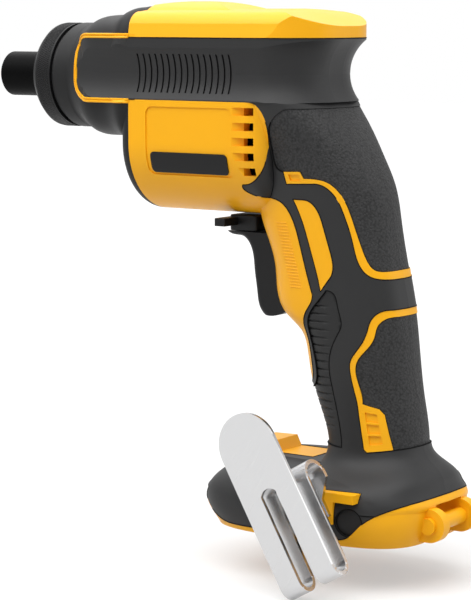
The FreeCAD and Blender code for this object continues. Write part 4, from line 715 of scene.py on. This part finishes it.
# Painted shade: the bead's near-black colour stands for the dark inside the slit.
painted_gap_shader, wires = new_shader(bpy.data.materials, "painted_gap_shade")
gap_mottle = noise(wires, object_place(wires), GAP_MOTTLE)
surface(wires, {
    "Base Color": tinted(wires, GAP_SHADE, GAP_TINT, gap_mottle),
    "Roughness": gap_mottle * GAP_SPREAD + GAP_ROUGHNESS,
    "Specular IOR Level": GAP_GLOSS,
})
for side in ("left", "right"):
    for piece in ("grip", "palm_pad", "heel_pad", "finger_panel"):
        faces = rim_bead(f"{piece}_{side}", "_gap", GAP_RADIUS, painted_gap_shader)
        print(piece, side, "gap of", faces, "faces")

# %% [markdown]
# ## Rounded trim
# The yellow line that frames the side band is a round-topped bead, a little prouder than the band,
# so that it shows unbroken round the corners. Its rims give the line, as for the gaps, and a yellow
# bead with a larger radius rounds them.

# %% Trim beads
TRIM_RADIUS = 0.42 * MM
TRIM_BREAK = 3.0 * MM
yellow = FINISHES["yellow_plastic"]
for side in ("left", "right"):
    faces = rim_bead(f"trim_{side}", "_bead", TRIM_RADIUS, yellow, TRIM_BREAK)
    print("trim", side, "bead of", faces, "faces")

# %% [markdown]
# ## Grooves of the finger panel
# The grooves are half a millimetre deep, so they show in the outline where the panel wraps round
# the front. A boolean would cut through the thin panel, so the surface itself is pressed in: level
# planes cut new edges into a merged copy of the panel, four to a groove, and the points on the two
# inner planes go inwards, less and less towards the back.

# %% Press the grooves
GROOVE_SHARES = (0.03, 0.12, 0.24, 0.33)  # a groove's four planes, in shares of the pitch
GROOVE_LIP = 0.05  # points nearer than this to an outer plane stay
GROOVE_DEPTH = 0.5 * MM
FADE_CUTS = 6
CUT_SNAP = 0.001 * MM
SEAM_HALF = 0.05 * MM
PANEL_SHARP = math.radians(30)


def cut_plane(bm, place, normal):
    """New edges where a plane crosses the mesh."""
    everything = bm.verts[:] + bm.edges[:] + bm.faces[:]
    return bmesh.ops.bisect_plane(bm, geom=everything, dist=CUT_SNAP,
                                  plane_co=place, plane_no=normal)["geom_cut"]


def groove_depth(point):
    """How far a point of the panel is pressed in."""
    share = (GROOVE_TOP - point.z) / GROOVE_PITCH
    inner = GROOVE_SHARES[0] + GROOVE_LIP < share % 1.0 < GROOVE_SHARES[3] - GROOVE_LIP
    if not inner or not 0 < share < GROOVES:
        return 0.0
    along = point.x + (point.z - GROOVE_TOP) * FADE_LEAN
    return GROOVE_DEPTH * min(max((FADE_END - along) / (FADE_END - FADE_START), 0.0), 1.0)


def press_in(corner):
    """The way that a corner of the panel goes inwards, or None where it stays."""
    depth = groove_depth(corner.co)
    outward = (corner.co - middle_line(corner.co)).normalized()
    outer = [face.normal for face in corner.link_faces if face.normal.dot(outward) > LOOKS_OUT]
    if not depth or not outer:
        return None
    normal = sum(outer, Vector())
    if abs(corner.co.y) < SEAM_HALF:
        normal.y = 0.0  # so that the two halves still meet
    return normal.normalized() * -depth


def grooved_panel(name):
    """A copy of a finger panel with its grooves, in place of the CAD node."""
    bm = merged_copy(name)
    for number in range(GROOVES):
        for share in GROOVE_SHARES:
            cut_plane(bm, (0, 0, GROOVE_TOP - (number + share) * GROOVE_PITCH), (0, 0, 1))
    for number in range(FADE_CUTS):
        across = FADE_START + (FADE_END - FADE_START) * number / (FADE_CUTS - 1)
        cut_plane(bm, (across, 0, GROOVE_TOP), (1, 0, FADE_LEAN))
    bm.normal_update()
    moves = [(corner, press_in(corner)) for corner in bm.verts]
    for corner, move in moves:
        if move is not None:
            corner.co += move
    panel = add_mesh(name + "_grooved", bm, FINGER_FINISH)
    panel.data.shade_smooth()
    panel.data.set_sharp_from_angle(angle=PANEL_SHARP)
    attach(panel, "casing")
    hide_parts(name)
    return len(panel.data.polygons)


for side in ("left", "right"):
    print("finger panel", side, "of", grooved_panel(f"finger_panel_{side}"), "faces")

# %% [markdown]
# ## Ribs behind the trigger
# The yellow core has a ladder of fine level ribs beside the trigger, where the finger would slip.
# Each rib is a thin bead on the surface. Its line is where a level plane crosses the housing, so
# the same cut as for the grooves finds it, and two planes that lean with the handle cut its ends.

# %% Lay the ribs
RIBS = 22
RIB_PITCH = 1.18 * MM
RIB_TOP = -54.9 * MM
RIB_LOW = RIB_TOP - RIBS * RIB_PITCH
RIB_RADIUS = 0.26 * MM
RIB_LEAN = 0.269
RIB_START = 106.3 * MM
RIB_END = 112.2 * MM
CORE_HALF = 8 * MM  # the ribs are on the core's flanks, further out than this
ROOM_ABOVE = 20 * MM
ROOM_BESIDE = 12 * MM


def in_ladder(point, spare):
    """True between the two leaning ends of the ribs, on the core's flanks."""
    along = point.x + point.z * RIB_LEAN
    return RIB_START - spare <= along <= RIB_END + spare and abs(point.y) > CORE_HALF


def level_with_ribs(face):
    """True where a face may hold a part of a rib, by its height."""
    return (RIB_LOW < face.calc_center_median().z < RIB_TOP + ROOM_ABOVE
            or any(RIB_LOW < corner.co.z < RIB_TOP for corner in face.verts))


def under_ribs(face):
    """True on the outer skin of the core, near the ladder."""
    middle = face.calc_center_median()
    return (face.normal.dot(middle - middle_line(middle)) >= 0
            and any(in_ladder(corner.co, ROOM_BESIDE) for corner in face.verts))


def rib_ladder(side):
    """The beads of one side's ribs."""
    bm = bmesh.new()
    bm.from_mesh(nodes["housing_" + side].data)
    far = [face for face in bm.faces if not level_with_ribs(face)]
    bmesh.ops.delete(bm, geom=far, context="FACES")
    bmesh.ops.remove_doubles(bm, verts=bm.verts, dist=MERGE)
    bm.normal_update()
    beside = [face for face in bm.faces if not under_ribs(face)]
    bmesh.ops.delete(bm, geom=beside, context="FACES")
    for end in (RIB_START, RIB_END):
        cut_plane(bm, (end, 0, 0), (1, 0, RIB_LEAN))
    cut = []
    for number in range(RIBS):
        cut += cut_plane(bm, (0, 0, RIB_TOP - number * RIB_PITCH), (0, 0, 1))
    keep_edges(bm, {edge for edge in cut
                    if isinstance(edge, bmesh.types.BMEdge) and edge.is_valid
                    and all(in_ladder(corner.co, MERGE) for corner in edge.verts)})
    return bead("trigger_ribs_" + side, bm, RIB_RADIUS, yellow)


for side in ("left", "right"):
    print("ribs", side, "of", rib_ladder(side), "faces")

# %% [markdown]
# ## Skirt of the reverse lever
# No daylight shows between the lever and the trigger: the lever hangs down in a deep skirt, as wide
# as the trigger, that ends just above it. A cube with its upright edges rounded makes it. It rides
# on the lever, and stops short of the tube above and of the handle behind, so that the lever can
# swing.

# %% Lever skirt
SKIRT_LOW = Vector((92.6, -8.0, -60.2)) * MM
SKIRT_HIGH = Vector((106.0, 8.0, -54.0)) * MM
SKIRT_ROUND = 2.0 * MM
SKIRT_ROUND_SEGMENTS = 6
SKIRT_EDGE = 0.4 * MM
SKIRT_EDGE_SEGMENTS = 2
SKIRT_SHARP = math.radians(50)


def rise(edge):
    """The difference in height between an edge's two ends."""
    return abs(edge.verts[0].co.z - edge.verts[1].co.z)


bm = bmesh.new()
bmesh.ops.create_cube(bm, size=1.0)
bmesh.ops.scale(bm, verts=bm.verts, vec=SKIRT_HIGH - SKIRT_LOW)
bmesh.ops.translate(bm, verts=bm.verts, vec=(SKIRT_HIGH + SKIRT_LOW) / 2)
upright = [edge for edge in bm.edges if rise(edge) > SKIRT_ROUND]
bmesh.ops.bevel(bm, geom=upright, offset=SKIRT_ROUND, affect="EDGES",
                segments=SKIRT_ROUND_SEGMENTS, profile=0.5, material=-1)
rims = [edge for edge in bm.edges if rise(edge) < SKIRT_EDGE]
bmesh.ops.bevel(bm, geom=rims, offset=SKIRT_EDGE, affect="EDGES",
                segments=SKIRT_EDGE_SEGMENTS, profile=0.5, material=-1)
bmesh.ops.recalc_face_normals(bm, faces=bm.faces)
skirt = add_mesh("lever_skirt", bm, FINISHES[slot_of["reverse_lever"]])
skirt.data.shade_smooth()
skirt.data.set_sharp_from_angle(angle=SKIRT_SHARP)
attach(skirt, "lever")
print("lever skirt of", len(skirt.data.polygons), "faces")

# %% [markdown]
# ## Knurl on the depth collar
# The collar is turned by thumb and finger, so its rim carries a slanted knurl of 150 low ridges.
# One ridge is a cube, made slim, bevelled and turned a little, and a spin with copies carries it
# round the spindle axis. Real ridges catch the light at the rim's outline, which a bump can't do.

# %% Knurl ridges
KNURL_RIDGES = 150
KNURL_SLANT = math.radians(24)
KNURL_START = 4.9 * MM
KNURL_END = 11.4 * MM
KNURL_WIDTH = 0.5 * MM
KNURL_HEIGHT = 0.7 * MM
KNURL_EDGE = 0.2 * MM
KNURL_PROUD = 0.16 * MM
rim_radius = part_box("depth_collar")[1].z
ridge_place = ((KNURL_START + KNURL_END) / 2, 0, rim_radius + KNURL_PROUD - KNURL_HEIGHT / 2)

bm = bmesh.new()
bmesh.ops.create_cube(bm, size=1.0)
bmesh.ops.scale(bm, verts=bm.verts, vec=(KNURL_END - KNURL_START, KNURL_WIDTH, KNURL_HEIGHT))
outer = [edge for edge in bm.edges if all(corner.co.z > 0 for corner in edge.verts)]
bmesh.ops.bevel(bm, geom=outer, offset=KNURL_EDGE, affect="EDGES",
                segments=1, profile=0.5, material=-1)
slant = Matrix.Rotation(KNURL_SLANT, 3, "Z")
bmesh.ops.rotate(bm, verts=bm.verts, cent=(0, 0, 0), matrix=slant)
bmesh.ops.translate(bm, verts=bm.verts, vec=ridge_place)
bmesh.ops.spin(bm, geom=bm.verts[:] + bm.edges[:] + bm.faces[:], cent=(0, 0, 0), axis=(1, 0, 0),
               angle=2 * math.pi * (1 - 1 / KNURL_RIDGES), steps=KNURL_RIDGES - 1,
               use_duplicate=True)
bmesh.ops.recalc_face_normals(bm, faces=bm.faces)
knurl = add_mesh("collar_knurl", bm, FINISHES["dark_plastic"])
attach(knurl, "collar")
print("knurl of", KNURL_RIDGES, "ridges,", len(knurl.data.polygons), "faces")

# %% [markdown]
# ## Measure and finish
# The box of the CAD pieces, measured before anything was added, is printed.

# %% Sizes and finish
print("CAD", [tuple(round(v, 4) for v in corner) for corner in cad_box])
